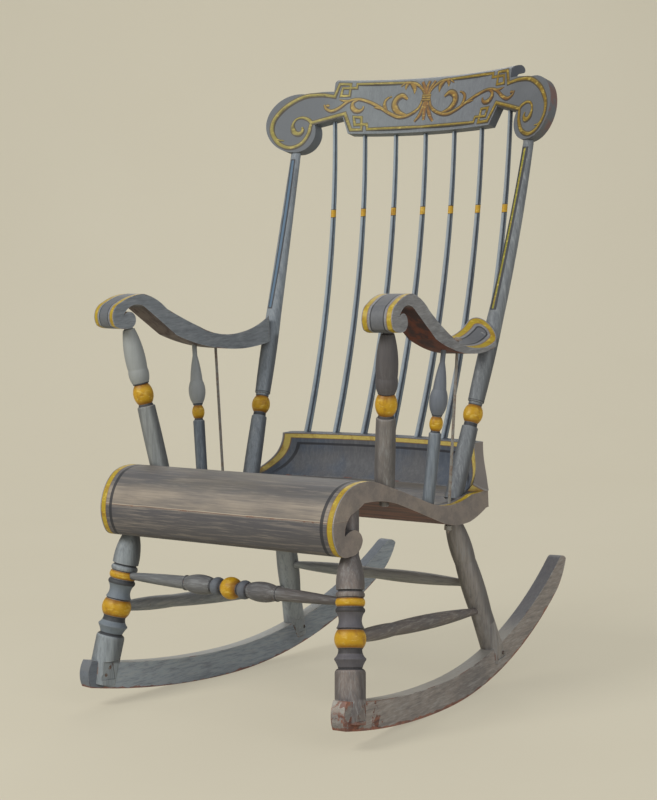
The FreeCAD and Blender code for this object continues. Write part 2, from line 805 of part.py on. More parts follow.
def crest_roll():
    """Top of the middle panel, rolled over backwards to a small lip."""
    return [(d.crest_radius + d.crest_thickness * out, d.crest_height * up, bulge)
            for out, up, bulge in CREST_ROLL_SHARES]


slab = revolve("crest_slab", "YZ_Plane", crest_slab(), "V_Axis", crest_turn)
front_view = pad("crest_front", "XZ_Plane", crest_outline(),
                 (d.crest_radius + d.crest_thickness + d.overrun) * 2)
panel_top = revolve("crest_panel_top", "YZ_Plane", crest_roll(), "V_Axis", panel_turn)
crest_blank = joined("Part::MultiFuse", "crest_blank",
                     common("crest_scrolls", slab, front_view), panel_top)
place(crest_blank, crest_origin, crest_rotation)


def on_crest(half, up):
    """A point in the middle of the crest's thickness, at a height above its bottom edge."""
    middle = d.crest_radius + d.crest_thickness / 2
    deep = root(middle * middle - half * half)
    return (half, crest_origin[1] + deep * cosine(lean) + up * sine(lean),
            crest_origin[2] - deep * sine(lean) + up * cosine(lean))


# Back posts: turned and straight up to the arm, then bent and flattened up to the crest.
post_foot = (d.seat_half_width - d.post_edge, d.post_setback - d.seat_front,
             d.seat_bottom + d.post_entry)
post_knee = (d.post_knee_half, d.post_knee_back, d.post_knee_height)
post_shoulder_share = 0.27
post_head = on_crest(d.post_head_half, -d.crest_height * post_shoulder_share)
post_knee_share = 0.90
post_widest_share = 0.98
post_tenon_radius_share = 0.4
POST_SHARES = [
    (0.000, 0.84, 0), (0.080, 0.84, 0), (0.085, post_widest_share, 0.004), (0.440, 0.90, 0.2),
    (0.448, 0.74, 0), (0.463, 0.74, 0), (0.466, 0.72, 0.185), (0.552, 0.72, 0),
    (0.555, 0.76, 0), (0.567, 0.76, 0.2), (0.575, 0.90, 0.008), (1.000, post_knee_share, 0),
]
post_lower = turned("back_post_lower", post_foot, post_knee, d.post_diameter, POST_SHARES)


def bent(start, end, first_direction, share):
    """Point and direction on the arc that leaves start along a direction and reaches end."""
    a, b = vector(start), vector(end)
    chord = b - a
    t0 = FreeCAD.Vector(first_direction).normalize()
    side = t0.cross(chord).normalize()
    half = t0.getAngle(chord)
    if half < 1e-6:
        return a + chord * share, t0
    radius = chord.Length / (2 * math.sin(half))
    inward = side.cross(t0)
    centre = a + inward * radius
    swing = FreeCAD.Rotation(side, math.degrees(2 * half * share))
    return centre + swing.multVec(a - centre), swing.multVec(t0)


def ring(name, point, direction, across_size, deep_size):
    """Elliptical section square to a direction, its long side level."""
    item = doc.addObject("Part::Ellipse", name)
    major, minor = across_size / 2, deep_size / 2
    item.MajorRadius = major.value
    item.MinorRadius = min(minor.value, major.value)
    bind(item, "MajorRadius", major)
    bind(item, "MinorRadius", minor)
    level = FreeCAD.Vector(0, 0, 1).cross(direction).normalize()
    item.Placement = FreeCAD.Placement(
        point, FreeCAD.Rotation(level, direction.cross(level), direction, "ZXY"))
    return item


def loft(name, sections):
    item = doc.addObject("Part::Loft", name)
    item.Sections = sections
    item.Solid = True
    return item


knee_diameter = d.post_diameter * post_knee_share
post_direction = vector(post_knee) - vector(post_foot)
post_rings = []
for share in (0.0, 0.25, 0.5, 0.75, 1.0):
    point, direction = bent(post_knee, post_head, post_direction, share)
    wide = knee_diameter + (d.post_head_width - knee_diameter) * share
    deep = knee_diameter + (d.post_head_depth - knee_diameter) * share
    post_rings.append(ring("post_ring_%d" % (share * 4), point, direction, wide, deep))
post_upper = loft("back_post_upper", post_rings)
post_head_direction = direction
post_end = tuple(Size.of(c) for c in (
    vector(post_head) + post_head_direction * d.post_head_entry.value))
post_tenon_radius = d.post_head_depth * post_tenon_radius_share
post_tenon = cylinder("back_post_tenon", post_head, post_end, post_tenon_radius)
post = joined("Part::MultiFuse", "back_post_blank", post_lower, post_upper, post_tenon)

# Back spindles: round, bent to one arc and tapered towards the crest.
SPINDLE_STATIONS = (0.0, 0.2, 0.4, 0.6, 0.8, 1.0)
SPINDLE_RISE_SHARE = 0.042
outer_notch_share = 0.25
head_hole_share = 1.1
spindle_sockets = []
crest_sockets = []


def spindle_point(foot, head, share):
    """Point and direction on an arc in an upright plane, bowed to the back."""
    a, b = vector(foot), vector(head)
    chord = b - a
    back = FreeCAD.Vector(0, 1, 0)
    back = (back - chord * (back.dot(chord) / chord.dot(chord))).normalize()
    radius = chord.Length * (0.25 + SPINDLE_RISE_SHARE ** 2) / (2 * SPINDLE_RISE_SHARE)
    centre = (a + b) * 0.5 + back * (SPINDLE_RISE_SHARE * chord.Length - radius)
    start = a - centre
    side = start.cross(b - centre).normalize()
    swing = FreeCAD.Rotation(side, math.degrees(start.getAngle(b - centre)) * share)
    return centre + swing.multVec(start), side.cross(swing.multVec(start)).normalize()


def spindle(rank):
    """The spindle at a rank from the middle of the back, with its two sockets."""
    foot_x, head_x = d.spindle_foot_spacing * rank, d.spindle_head_spacing * rank
    if rank == 0:
        foot_x = head_x = ZERO
    deep = root(d.back_radius * d.back_radius - foot_x * foot_x)
    foot = (foot_x, back_line - d.back_radius + deep,
            rise_base + d.rise_height - d.spindle_foot_entry)
    notch = d.crest_height * outer_notch_share if rank == 3 else ZERO
    head = on_crest(head_x, notch + d.spindle_head_entry)
    rings = []
    for share in SPINDLE_STATIONS:
        point, direction = spindle_point(foot, head, share)
        width = d.spindle_foot_diameter + (
            d.spindle_head_diameter - d.spindle_foot_diameter) * share
        rings.append(ring("spindle_%d_ring_%d" % (rank, share * 5), point, direction,
                          width, width))
    for share, sockets, width in ((0.0, spindle_sockets, d.spindle_foot_diameter),
                                  (1.0, crest_sockets, d.spindle_head_diameter * head_hole_share)):
        point, direction = spindle_point(foot, head, share)
        reach = direction * (1 if share == 0 else -1)
        start = tuple(Size.of(c) for c in point - reach * fit.value)
        end = tuple(Size.of(c) for c in point + reach * (d.overrun.value * 4))
        hole = cylinder("spindle_%d_socket_%d" % (rank, share), start, end, width / 2 + fit)
        sockets.append(hole)
        if rank:
            twin = doc.addObject("Part::Mirroring", hole.Name + "_twin")
            twin.Source = hole
            twin.Normal = FreeCAD.Vector(1, 0, 0)
            sockets.append(twin)
    return loft("spindle_%d" % rank, rings)


node("back_spindle_4", spindle(0))
for rank in (1, 2, 3):
    right = spindle(rank)
    node("back_spindle_%d" % (4 + rank), right)
    mirrored("back_spindle_%d" % (4 - rank), right)

# Arms: a scroll at the front and a dished end at the post, lofted between two side views.
arm_rotation = FreeCAD.Rotation(FreeCAD.Vector(0, 0, 1), d.arm_splay_degrees.value)
POST_SHARE_AT_ARM = 0.939
arm_end = between(post_foot, post_knee, POST_SHARE_AT_ARM)
arm_reach = d.arm_length + d.arm_end_gap
splay = d.arm_splay_degrees
arm_outer_front = (
    arm_end[0] + d.arm_end_inward * cosine(splay) + arm_reach * sine(splay),
    arm_end[1] + d.arm_end_inward * sine(splay) - arm_reach * cosine(splay),
    d.arm_bottom)
SCROLL_SHARES = [
    (0.060, 0.679, -0.235), (0.188, 0.803, 0), (0.377, 0.321, 0.054), (0.792, 0.000, 0.03),
    (1.000, 0.089, 0),
]
SCROLL_FRONT_SHARES = [
    (0.325, 0.741, 0.068), (0.186, 1.000, 0.065), (0.048, 0.893, 0.25), (0.011, 0.553, 0.10),
    (0.095, 0.500, 0.207), (0.133, 0.625, 0.207), (0.095, 0.750, 0.13),
]
OUTER_TOP_SHARES = [(1.000, 0.215, -0.078), (0.792, 0.072, -0.057), (0.525, 0.313, -0.02)]
INNER_TOP_SHARES = [(1.000, 0.607, -0.070), (0.792, 0.286, -0.090), (0.525, 0.420, -0.01)]


def arm_profile(top_shares):
    shares = SCROLL_SHARES + top_shares + SCROLL_FRONT_SHARES
    return [(d.arm_length * y if y else ZERO, d.arm_rise * z if z else ZERO, b)
            for y, z, b in shares]


arm_body = new_body("arm_body")
outer_view = draw(arm_body, "YZ_Plane", arm_profile(OUTER_TOP_SHARES), "arm_outer_view")
inner_view = draw(arm_body, "YZ_Plane", arm_profile(INNER_TOP_SHARES), "arm_inner_view",
                  -(d.arm_width + d.arm_flare))
arm_loft = arm_body.newObject("PartDesign::AdditiveLoft", "arm_loft")
arm_loft.Profile = outer_view
arm_loft.Sections = [inner_view]
arm_loft.Ruled = True


flare_front_share = 0.14
flare_back_share = 0.48
flare_bulge_share = 0.008


def arm_plan():
    """Plan of the arm: a straight outer side, an inner side that widens towards the hand,
    and a rounded back end."""
    wide, long, corner = d.arm_width, d.arm_length, d.arm_corner_radius
    front, back = long * flare_front_share, long * flare_back_share
    return [
        (-wide - d.arm_flare, -d.overrun, 0), (ZERO, -d.overrun, 0),
        (ZERO, long - corner, bulge_of(90)), (-corner, long, 0),
        (corner - wide, long, bulge_of(90)), (-wide, long - corner, 0),
        (-wide, back, -flare_bulge_share),
        (-wide - d.arm_flare / 2, (front + back) / 2, flare_bulge_share),
        (-wide - d.arm_flare, front, 0),
    ]


arm_plan_body = pad("arm_plan", "XY_Plane", arm_plan(), d.arm_rise * 4)
arm_blank = common("arm_blank", arm_body, arm_plan_body)
place(arm_blank, arm_outer_front, arm_rotation)


def on_arm(inward, back, up):
    """A point of the arm, measured from its outer front corner."""
    return (arm_outer_front[0] - inward * cosine(splay) - back * sine(splay),
            arm_outer_front[1] - inward * sine(splay) + back * cosine(splay),
            arm_outer_front[2] + up)


arm_tenon_root_share = 0.93
arm_tenon_rise_share = 0.22
arm_tenon_up = d.arm_rise * arm_tenon_rise_share
arm_tenon_start = on_arm(d.arm_end_inward, d.arm_length * arm_tenon_root_share, arm_tenon_up)
arm_tenon_end = on_arm(d.arm_end_inward, d.arm_length + d.arm_tenon_length, arm_tenon_up)
arm_tenon = cylinder("arm_tenon", arm_tenon_start, arm_tenon_end, d.arm_tenon_diameter / 2)
arm_tenon_hole = cylinder("arm_tenon_hole", arm_tenon_start,
                          inset(arm_tenon_end, arm_tenon_start, -fit),
                          d.arm_tenon_diameter / 2 + fit)

# Arm posts, arm spindles and tie rods, each on a line from the seat to the arm.
arm_post_foot = (d.seat_half_width - d.arm_post_edge, d.arm_post_setback - d.seat_front,
                 d.seat_bottom + d.arm_post_foot_rise)
arm_post_head = on_arm(d.arm_post_inward, d.arm_post_along, d.arm_post_head_rise)
post_tenon_share = (d.arm_post_tenon / d.arm_post_diameter).value
arm_post_shoulder_share = 0.94
ARM_POST_SHARES = [
    (0.000, post_tenon_share, 0), (0.075, post_tenon_share, 0),
    (0.080, arm_post_shoulder_share, 0.005), (0.474, 0.92, 0.2), (0.484, 0.78, 0),
    (0.497, 0.70, 0.165), (0.612, 0.70, 0), (0.614, 0.82, 0), (0.620, 0.84, 0.08),
    (0.700, 1.00, 0.045), (0.935, 0.62, 0), (0.940, post_tenon_share, 0),
    (1.000, post_tenon_share, 0),
]
arm_post = turned("arm_post_body", arm_post_foot, arm_post_head, d.arm_post_diameter,
                  ARM_POST_SHARES)
arm_spindle_foot = (d.seat_half_width - d.arm_spindle_edge,
                    d.arm_spindle_setback - d.seat_front,
                    d.seat_bottom + d.arm_spindle_foot_rise)
arm_spindle_head = on_arm(d.arm_spindle_inward, d.arm_spindle_along, d.arm_spindle_head_rise)
small_tenon_share = (d.arm_spindle_tenon / d.arm_spindle_diameter).value
spindle_foot_share = 0.76
ARM_SPINDLE_SHARES = [
    (0.000, spindle_foot_share, 0), (0.474, 0.78, 0.2), (0.486, 0.62, 0), (0.496, 0.55, 0.165),
    (0.580, 0.55, 0), (0.584, 0.64, 0), (0.592, 0.68, 0.12), (0.740, 0.84, 0.02),
    (0.900, small_tenon_share, 0), (1.000, small_tenon_share, 0),
]
arm_spindle = turned("arm_spindle_body", arm_spindle_foot, arm_spindle_head,
                     d.arm_spindle_diameter, ARM_SPINDLE_SHARES)
rod_foot = (d.seat_half_width - d.arm_spindle_edge, d.rod_setback - d.seat_front,
            d.seat_bottom - d.rod_foot_drop)
rod_head = on_arm(d.arm_spindle_inward, d.rod_along, d.rod_head_rise)
rod_share = (d.rod_diameter / d.rod_head_diameter).value
rod_neck_share = 0.985
rod_crown_share = 0.6
nut_lift_share = 0.65
tie_rod = turned("tie_rod_body", rod_foot, rod_head, d.rod_head_diameter, [
    (0.000, rod_share, 0), (rod_neck_share, rod_share, 0), (rod_neck_share, 1.0, 0.1),
    (1.000, rod_crown_share, 0)])
nut_start = inset(rod_foot, rod_head, d.nut_height * nut_lift_share)
nut = joined("Part::Cut", "tie_rod_nut_blank",
             cylinder("nut_round", nut_start, rod_head, d.nut_diameter / 2, d.nut_height),
             cylinder("nut_bore", rod_foot, rod_head, d.rod_diameter / 2 + fit))
nut_twin = doc.addObject("Part::Mirroring", "tie_rod_nut_twin")
nut_twin.Source = nut
nut_twin.Normal = FreeCAD.Vector(1, 0, 0)
node("tie_rod_nuts", joined("Part::Compound", "tie_rod_nut_set", nut, nut_twin))
pair("arm_post", arm_post)
pair("arm_spindle", arm_spindle)
pair("tie_rod", tie_rod)


def shaft(name, start, end, first, last, diameter):
    """Round hole about a line, between two shares of it."""
    return cylinder(name, between(start, end, first), between(start, end, last),
                    diameter / 2 + fit)


def seated(name, start, end, diameter, stations):
    """A turned piece's own form, grown by the fit, that cuts its seat in another piece."""
    return turned(name, start, end, diameter + fit * 4, stations)


# Shares of a line at which its holes begin and stop, beyond the ends of the piece they hold.
past_end_share = 1.001
before_start_share = -0.001
beyond_share = 1.1
far_before_share = -0.2
upper_share = 0.8
lower_share = 0.3
post_clear_share = 0.48

arm_holes = [
    cylinder("arm_post_clear", post_foot, inset(post_knee, post_foot, -d.overrun * 3),
             d.post_diameter * post_clear_share + fit),
    shaft("arm_post_bore", arm_post_foot, arm_post_head, upper_share, past_end_share,
          d.arm_post_tenon),
    seated("arm_post_seat", arm_post_foot, arm_post_head, d.arm_post_diameter, ARM_POST_SHARES),
    shaft("arm_spindle_bore", arm_spindle_foot, arm_spindle_head, upper_share, past_end_share,
          d.arm_spindle_tenon),
    seated("arm_spindle_seat", arm_spindle_foot, arm_spindle_head, d.arm_spindle_diameter,
           ARM_SPINDLE_SHARES),
    shaft("arm_rod_bore", rod_foot, rod_head, upper_share, beyond_share, d.rod_diameter),
    shaft("arm_rod_head_bore", rod_foot, rod_head, rod_neck_share + before_start_share,
          beyond_share, d.rod_head_diameter),
]
arm = joined("Part::MultiFuse", "arm_fitted", cut("arm", arm_blank, arm_holes), arm_tenon)
pair("arm", arm)
pair("back_post", cut("back_post", post, [arm_tenon_hole]))

# Seat: holes for everything that stands in it, and hidden dowels in its glue joints.
leg_bore_share = 0.68
rear_bore_share = 0.86
arm_post_step_share = 0.074
post_hole_share = 0.99
arm_spindle_hole_share = 0.80
right_holes = [
    shaft("seat_front_leg_bore", front_foot, front_head, leg_bore_share, past_end_share,
          d.front_leg_tenon),
    shaft("seat_rear_leg_bore", rear_foot, rear_head, rear_bore_share, past_end_share,
          d.rear_leg_tenon),
    seated("seat_rear_leg_seat", rear_foot, rear_head, d.rear_leg_diameter, REAR_LEG_SHARES),
    shaft("seat_post_bore", post_foot, post_knee, before_start_share, lower_share,
          d.post_diameter * post_hole_share),
    shaft("seat_arm_post_bore", arm_post_foot, arm_post_head, far_before_share, lower_share,
          d.arm_post_tenon),
    shaft("seat_arm_post_top", arm_post_foot, arm_post_head, arm_post_step_share, lower_share,
          d.arm_post_diameter * arm_post_shoulder_share),
    shaft("seat_arm_spindle_bore", arm_spindle_foot, arm_spindle_head, before_start_share,
          lower_share, d.arm_spindle_diameter * arm_spindle_hole_share),
    shaft("seat_rod_bore", rod_foot, rod_head, far_before_share, lower_share, d.rod_diameter),
]
right_set = joined("Part::MultiFuse", "seat_right_holes", *right_holes)
left_set = doc.addObject("Part::Mirroring", "seat_left_holes")
left_set.Source = right_set
left_set.Normal = FreeCAD.Vector(1, 0, 0)
dowels = []
dowel_holes = []
roll_dowel_share = 0.040
roll_glue_share = 0.535
dowel_half_share = 0.62
rise_dowel_y = back_line - d.rise_foot / 2
roll_dowel_y = d.seat_depth * roll_dowel_share - d.seat_front
roll_glue_z = d.seat_bottom + d.seat_rise * roll_glue_share
dowel_half = d.seat_half_width * dowel_half_share
for rank, half in enumerate((-dowel_half, ZERO, dowel_half)):
    for label, y, z in (("rise", rise_dowel_y - (half * half) / (d.back_radius * 2), rise_base),
                        ("roll", roll_dowel_y, roll_glue_z)):
        low = (half, y, z - d.dowel_length / 3)
        high = (half, y, z + d.dowel_length / 3)
        dowels.append(cylinder("dowel_%s_%d" % (label, rank), low, high, d.dowel_diameter / 2))
        dowel_holes.append(cylinder("dowel_hole_%s_%d" % (label, rank), inset(low, high, -fit),
                                    inset(high, low, -fit), d.dowel_diameter / 2 + fit))
node("seat_dowels", joined("Part::Compound", "seat_dowel_set", *dowels))
node("seat_plank", cut("seat_plank", plank, [right_set, left_set] + dowel_holes))
node("seat_front_roll", cut("seat_front_roll", roll, [right_set, left_set] + dowel_holes))
node("seat_back_rise", cut("seat_back_rise", rise, dowel_holes + spindle_sockets))

post_seat = loft("crest_post_seat", [
    ring("crest_post_seat_%d" % n, vector(post_head) + post_head_direction * reach.value,
         post_head_direction, d.post_head_width + fit * 2, d.post_head_depth + fit * 2)
    for n, reach in enumerate((-d.overrun * 2, fit))])
post_bore = joined("Part::MultiFuse", "crest_post_bore", post_seat, cylinder(
    "crest_post_tenon_bore", post_head, inset(post_end, post_head, -fit),
    post_tenon_radius + fit))
post_bore_twin = doc.addObject("Part::Mirroring", "crest_post_bore_twin")
post_bore_twin.Source = post_bore
post_bore_twin.Normal = FreeCAD.Vector(1, 0, 0)
node("crest_rail", cut("crest_rail", crest_blank, crest_sockets + [post_bore, post_bore_twin]))

doc.recompute()

for item in doc.Objects:
    if "Invalid" in item.State or "Error" in item.State:
        raise RuntimeError("%s is %s" % (item.Name, item.State))
for name, item in NODES.items():
    if item.Shape.isNull() or not item.Shape.isValid():
        raise RuntimeError("%s has no valid shape" % name)

os.makedirs("parts", exist_ok=True)
for name, item in NODES.items():
    item.Shape.exportStep("parts/%s.step" % name)
print("%d pieces" % len(NODES))
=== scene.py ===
import math

import bpy
import numpy as np
from mathutils import Matrix, Vector


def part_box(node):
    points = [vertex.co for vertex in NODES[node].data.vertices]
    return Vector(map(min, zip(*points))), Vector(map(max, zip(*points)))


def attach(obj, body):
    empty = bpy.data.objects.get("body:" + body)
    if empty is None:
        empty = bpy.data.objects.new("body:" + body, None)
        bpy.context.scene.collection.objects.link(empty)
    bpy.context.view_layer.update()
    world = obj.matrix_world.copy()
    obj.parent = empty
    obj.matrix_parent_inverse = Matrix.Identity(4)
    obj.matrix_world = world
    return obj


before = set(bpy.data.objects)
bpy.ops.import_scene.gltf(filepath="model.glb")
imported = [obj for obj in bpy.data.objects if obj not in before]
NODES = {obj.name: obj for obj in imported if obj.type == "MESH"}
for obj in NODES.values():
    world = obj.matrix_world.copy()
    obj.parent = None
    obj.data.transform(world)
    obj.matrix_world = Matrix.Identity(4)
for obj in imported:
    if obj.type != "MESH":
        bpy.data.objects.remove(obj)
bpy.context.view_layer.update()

# A painted rocking chair: worn blue-grey paint, yellow stripes and rings, and scrolls painted
# on its crest. Lengths are in metres. Right-hand pieces lie at +X, and patterns read |x| so
# that the left-hand ones wear the same stripes.

# The photograph's frame and the place it was seen from.
IMAGE_HEIGHT = 800
FOCAL_PIXELS = 2083.37
SENSOR_HEIGHT = 36.0
CAMERA_PLACE = Vector((2.31499, -2.78532, 0.88209))
CAMERA_FORWARD = Vector((-0.6396, 0.7617, -0.1041)).normalized()
CAMERA_RIGHT = Vector((0.768, 0.6388, -0.0447))

# Crest rail: a board bent to a radius about an axis in front of it, leaning back. Its ears,
# their tips and the ends of its rolled top are marked by distances from the middle. Such a
# pair of places is where a tone of paint begins and where it is full.
CREST_RADIUS = 0.800
CREST_LEAN = math.radians(17)
CREST_BACK = 0.2689
CREST_BOTTOM = 0.9639
CREST_EARS = (0.15, 0.23)
CREST_TIPS = (0.285, 0.320)
CREST_ROLL_END = (0.215, 0.205)

# Ends of the turned pieces of the right side, foot first.
FRONT_LEG = (Vector((0.27848, -0.34276, 0.0380)), Vector((0.2300, -0.25835, 0.3965)))
REAR_LEG = (Vector((0.23055, 0.11883, 0.0400)), Vector((0.1900, 0.04665, 0.3310)))
BACK_POST = (Vector((0.2290, 0.00165, 0.3120)), Vector((0.2525, 0.12465, 0.6400)))
ARM_POST = (Vector((0.2460, -0.19435, 0.3610)), Vector((0.2910, -0.22135, 0.6600)))
ARM_SPINDLE = (Vector((0.2520, -0.09035, 0.3300)), Vector((0.2810, -0.06335, 0.6090)))

# The back post's upper half: distance from the middle and height, at its knee and its head,
# and the heights between which the painted shade on its sides fades out.
POST_KNEE = (0.2525, 0.640)
POST_HEAD = (0.265, 0.9456)
KNEE_SHADE = (0.61, 0.60)

# Painted marks by height: the stripe of a back post and the ring of a back spindle.
POST_STRIPE = (0.655, 0.925)
SPINDLE_RING = (0.8155, 0.8290)

# Arm: its outer front corner, its turn in plan, its width, its length, how much wider its
# inner side grows towards the hand, between which shares of its length, and the round of its
# back corners.
ARM_CORNER = Vector((0.3300, -0.26035, 0.587))
ARM_SPLAY = math.radians(8.36)
ARM_WIDTH = 0.050
ARM_LENGTH = 0.369
ARM_FLARE = 0.005
ARM_FLARE_SHARES = (0.48, 0.14)
ARM_ROUND = 0.024

# Seat: its front, where its side edges end, half its width there, how far they bow out, the
# height of the line where its roll is glued on, and the heights of the roll's hollow.
SEAT_FRONT = -0.33835
SEAT_SIDE_END = 0.079
SEAT_HALF_WIDTH = 0.258
SEAT_SIDE_BOW = 0.011
GLUE_LINE = 0.353
ROLL_HOLLOW = (0.318, 0.372)

# Rise board: its top, and the arc that sweeps its end down, seen from the front.
RISE_TOP = 0.424
RISE_SWEEP_CENTRE = (0.3149, 0.4281)
RISE_SWEEP_RADIUS = 0.096

# Rockers: where they touch the floor, the radii of their soles and their turn in plan.
CONTACT_Y = -0.06474
ROCKER_FRONT_RADIUS = 1.341
ROCKER_REAR_RADIUS = 0.729
ROCKER_SPLAY = math.radians(6.42)

# The yellow stripe and the dark line along an edge, as distances in from the edge.
SEAT_STRIPE = (0.0022, 0.0118)
SEAT_LINE = (0.0205, 0.0272)
RISE_STRIPE = (0.0030, 0.0098)
RISE_LINE = (0.0180, 0.0222)
ARM_STRIPE = (0.0022, 0.0100)
ARM_LINE = (0.0150, 0.0172)


def srgb(red, green, blue):
    """A colour given in 8-bit display values, as the linear values that a shader takes."""
    shares = np.array((red, green, blue)) / 255
    linear = np.where(shares <= 0.04045, shares / 12.92, ((shares + 0.055) / 1.055) ** 2.4)
    return (*linear.tolist(), 1.0)


PAINT_DARK = srgb(78, 81, 87)
PAINT_PALE = srgb(158, 162, 164)
LINE_DARK = srgb(42, 43, 48)
RING_BLUE = srgb(104, 114, 124)
RING_BROWN = srgb(80, 80, 88)
BALL_YELLOW = srgb(186, 144, 26)
STRIPE_YELLOW = srgb(166, 142, 36)
YELLOW_PALE = srgb(228, 204, 110)
# YELLOW_SHADE: the brown of darker dabs in yellow paint, of painted shade on yellow rings and
# in hollows, and beside stripes.
YELLOW_SHADE = srgb(126, 80, 26)
WOOD_RED = srgb(128, 78, 58)
WOOD_DARK = srgb(84, 54, 46)


class Graph:
    """A node tree with short calls. An argument may be a number, a tuple or a socket."""

    def __init__(self, tree):
        self.tree = tree

    def plug(self, value, socket):
        if isinstance(value, bpy.types.NodeSocket):
            self.tree.links.new(value, socket)
        elif value is not None:
            socket.default_value = value

    def node(self, kind, *values, **settings):
        made = self.tree.nodes.new(kind)
        for name, setting in settings.items():
            setattr(made, name, setting)
        for value, socket in zip(values, made.inputs):
            self.plug(value, socket)
        return made

    def math(self, operation, *values, clamp=False):
        return self.node("ShaderNodeMath", *values, operation=operation,
                         use_clamp=clamp).outputs[0]

    def total(self, first, *others):
        for other in others:
            first = self.math("ADD", first, other)
        return first

    def product(self, first, *others):
        for other in others:
            first = self.math("MULTIPLY", first, other)
        return first

    def less(self, whole, part, clamp=False):
        return self.math("SUBTRACT", whole, part, clamp=clamp)

    def absolute(self, value):
        return self.math("ABSOLUTE", value)

    def hypotenuse(self, a, b):
        return self.math("SQRT", self.total(self.product(a, a), self.product(b, b)))

    def vector(self, operation, *values):
        made = self.node("ShaderNodeVectorMath", *values, operation=operation)
        return made.outputs["Value" if operation == "DOT_PRODUCT" else "Vector"]

    def parts(self, vector):
        return self.node("ShaderNodeSeparateXYZ", vector).outputs

    def normal(self):
        return self.node("ShaderNodeNewGeometry").outputs["Normal"]

    def openness(self, reach):
        """How open a point is to the room within a reach: low in hollows and joints."""
        return self.node("ShaderNodeAmbientOcclusion", None, reach, samples=6).outputs["AO"]

    def mix(self, factor, a, b):
        made = self.node("ShaderNodeMix", factor, data_type="RGBA")
        self.plug(a, made.inputs[6])
        self.plug(b, made.inputs[7])
        return made.outputs[2]

    def lay(self, under, tone, *masks):
        """A tone laid over a colour, as thick as the product of its masks."""
        return self.mix(self.product(*masks), under, tone)

    def noise(self, vector, scale, detail=4.0, rough=0.55, distortion=0.0):
        made = self.node("ShaderNodeTexNoise")
        for name, value in (("Vector", vector), ("Scale", scale), ("Detail", detail),
                            ("Roughness", rough), ("Distortion", distortion)):
            self.plug(value, made.inputs[name])
        return made.outputs[0]

    def streaks(self, place, stretch, detail=4.0, rough=0.55):
        """Noise with so many waves to the metre along each of the three axes."""
        return self.noise(self.vector("MULTIPLY", place, stretch), 1.0, detail, rough)

    def step(self, value, low, high):
        """0 below low, 1 above high and smooth between; falls instead where low > high."""
        return self.node("ShaderNodeMapRange", value, low, high,
                         interpolation_type="SMOOTHSTEP").outputs[0]

    def band(self, value, low, high, soft):
        """1 between low and high, with edges as wide as soft."""
        rise = self.step(value, low - soft, low + soft)
        return self.product(rise, self.step(value, high + soft, high - soft))


def add(name, data):
    """A new object of the scene that shows this data."""
    made = bpy.data.objects.new(name, data)
    bpy.context.scene.collection.objects.link(made)
    return made


def group(name, inputs, outputs, fill):
    """A shader node group; fill(graph, inputs) returns the values of its outputs in order."""
    tree = bpy.data.node_groups.new(name, "ShaderNodeTree")
    for label, kind in inputs:
        tree.interface.new_socket(label, in_out="INPUT", socket_type="NodeSocket" + kind)
    for label, kind in outputs:
        tree.interface.new_socket(label, in_out="OUTPUT", socket_type="NodeSocket" + kind)
    graph = Graph(tree)
    source = graph.node("NodeGroupInput")
    sink = graph.node("NodeGroupOutput")
    for value, socket in zip(fill(graph, source.outputs), sink.inputs):
        graph.plug(value, socket)
    return tree


def use(graph, tree, *values):
    """Places a group in a graph and returns its outputs."""
    return graph.node("ShaderNodeGroup", *values, node_tree=tree).outputs


def fill_worn_paint(g, sockets):
    """Brushed paint: faint clouds, fine streaks along the grain, rubbed edges, bare chips
    and painted shade in joints. Wear brings more chips, and brush is the strength of the brush
    marks."""
    place, grain, paint, shade, pale, wood, wear, brush = sockets[:8]
    edge_width, joint_reach = 0.0035, 0.016
    along = g.vector("MULTIPLY", place, grain)
    cloud = g.noise(place, 7.0, 4.0, 0.55, 0.3)
    streak = g.noise(along, 1.0, 6.0, 0.62)
    fine = g.noise(along, 2.7, 4.0, 0.6)
    base = paint
    for mask, strength, tone in ((g.step(cloud, 0.46, 0.66), 0.45, shade),
                                 (g.step(streak, 0.50, 0.68), 0.38, pale),
                                 (g.step(streak, 0.50, 0.34), 0.42, shade),
                                 (g.step(fine, 0.52, 0.66), 0.30, pale),
                                 (g.step(fine, 0.48, 0.36), 0.30, shade)):
        base = g.lay(base, tone, mask, strength, brush)
    rounded = g.node("ShaderNodeBevel", edge_width, samples=4).outputs[0]
    edge = g.step(g.vector("DOT_PRODUCT", rounded, g.normal()), 0.985, 0.90)
    # Painted shade: darker where little of the room is open, in joints and hollows.
    joint_shade = g.step(g.openness(joint_reach), 0.80, 0.35)
    flakes = g.noise(place, 34.0, 9.0, 0.68, 0.3)
    patch = g.step(g.noise(place, 7.0, 3.0, 0.5), 0.50, 0.68)
    level = g.total(flakes, g.product(patch, 0.10), g.product(edge, 0.17),
                    g.product(wear, 0.25))
    chip = g.step(level, 0.745, 0.770)
    base = g.lay(base, pale, edge, g.step(fine, 0.36, 0.60), 0.60)
    base = g.lay(base, LINE_DARK, joint_shade, 0.50)
    wood_tone = g.mix(g.step(streak, 0.38, 0.62), WOOD_DARK, wood)
    colour = g.lay(base, wood_tone, chip, 0.85)
    rough = g.total(0.50, g.product(streak, 0.22), g.product(chip, 0.15))
    height = g.less(g.product(streak, 0.45), g.product(chip, 0.8))
    return colour, rough, height


WORN_PAINT = group(
    "worn paint",
    (("Place", "Vector"), ("Grain", "Vector"), ("Paint", "Color"), ("Shade", "Color"),
     ("Pale", "Color"), ("Wood", "Color"), ("Wear", "Float"), ("Brush", "Float")),
    (("Colour", "Color"), ("Roughness", "Float"), ("Height", "Float")),
    fill_worn_paint)


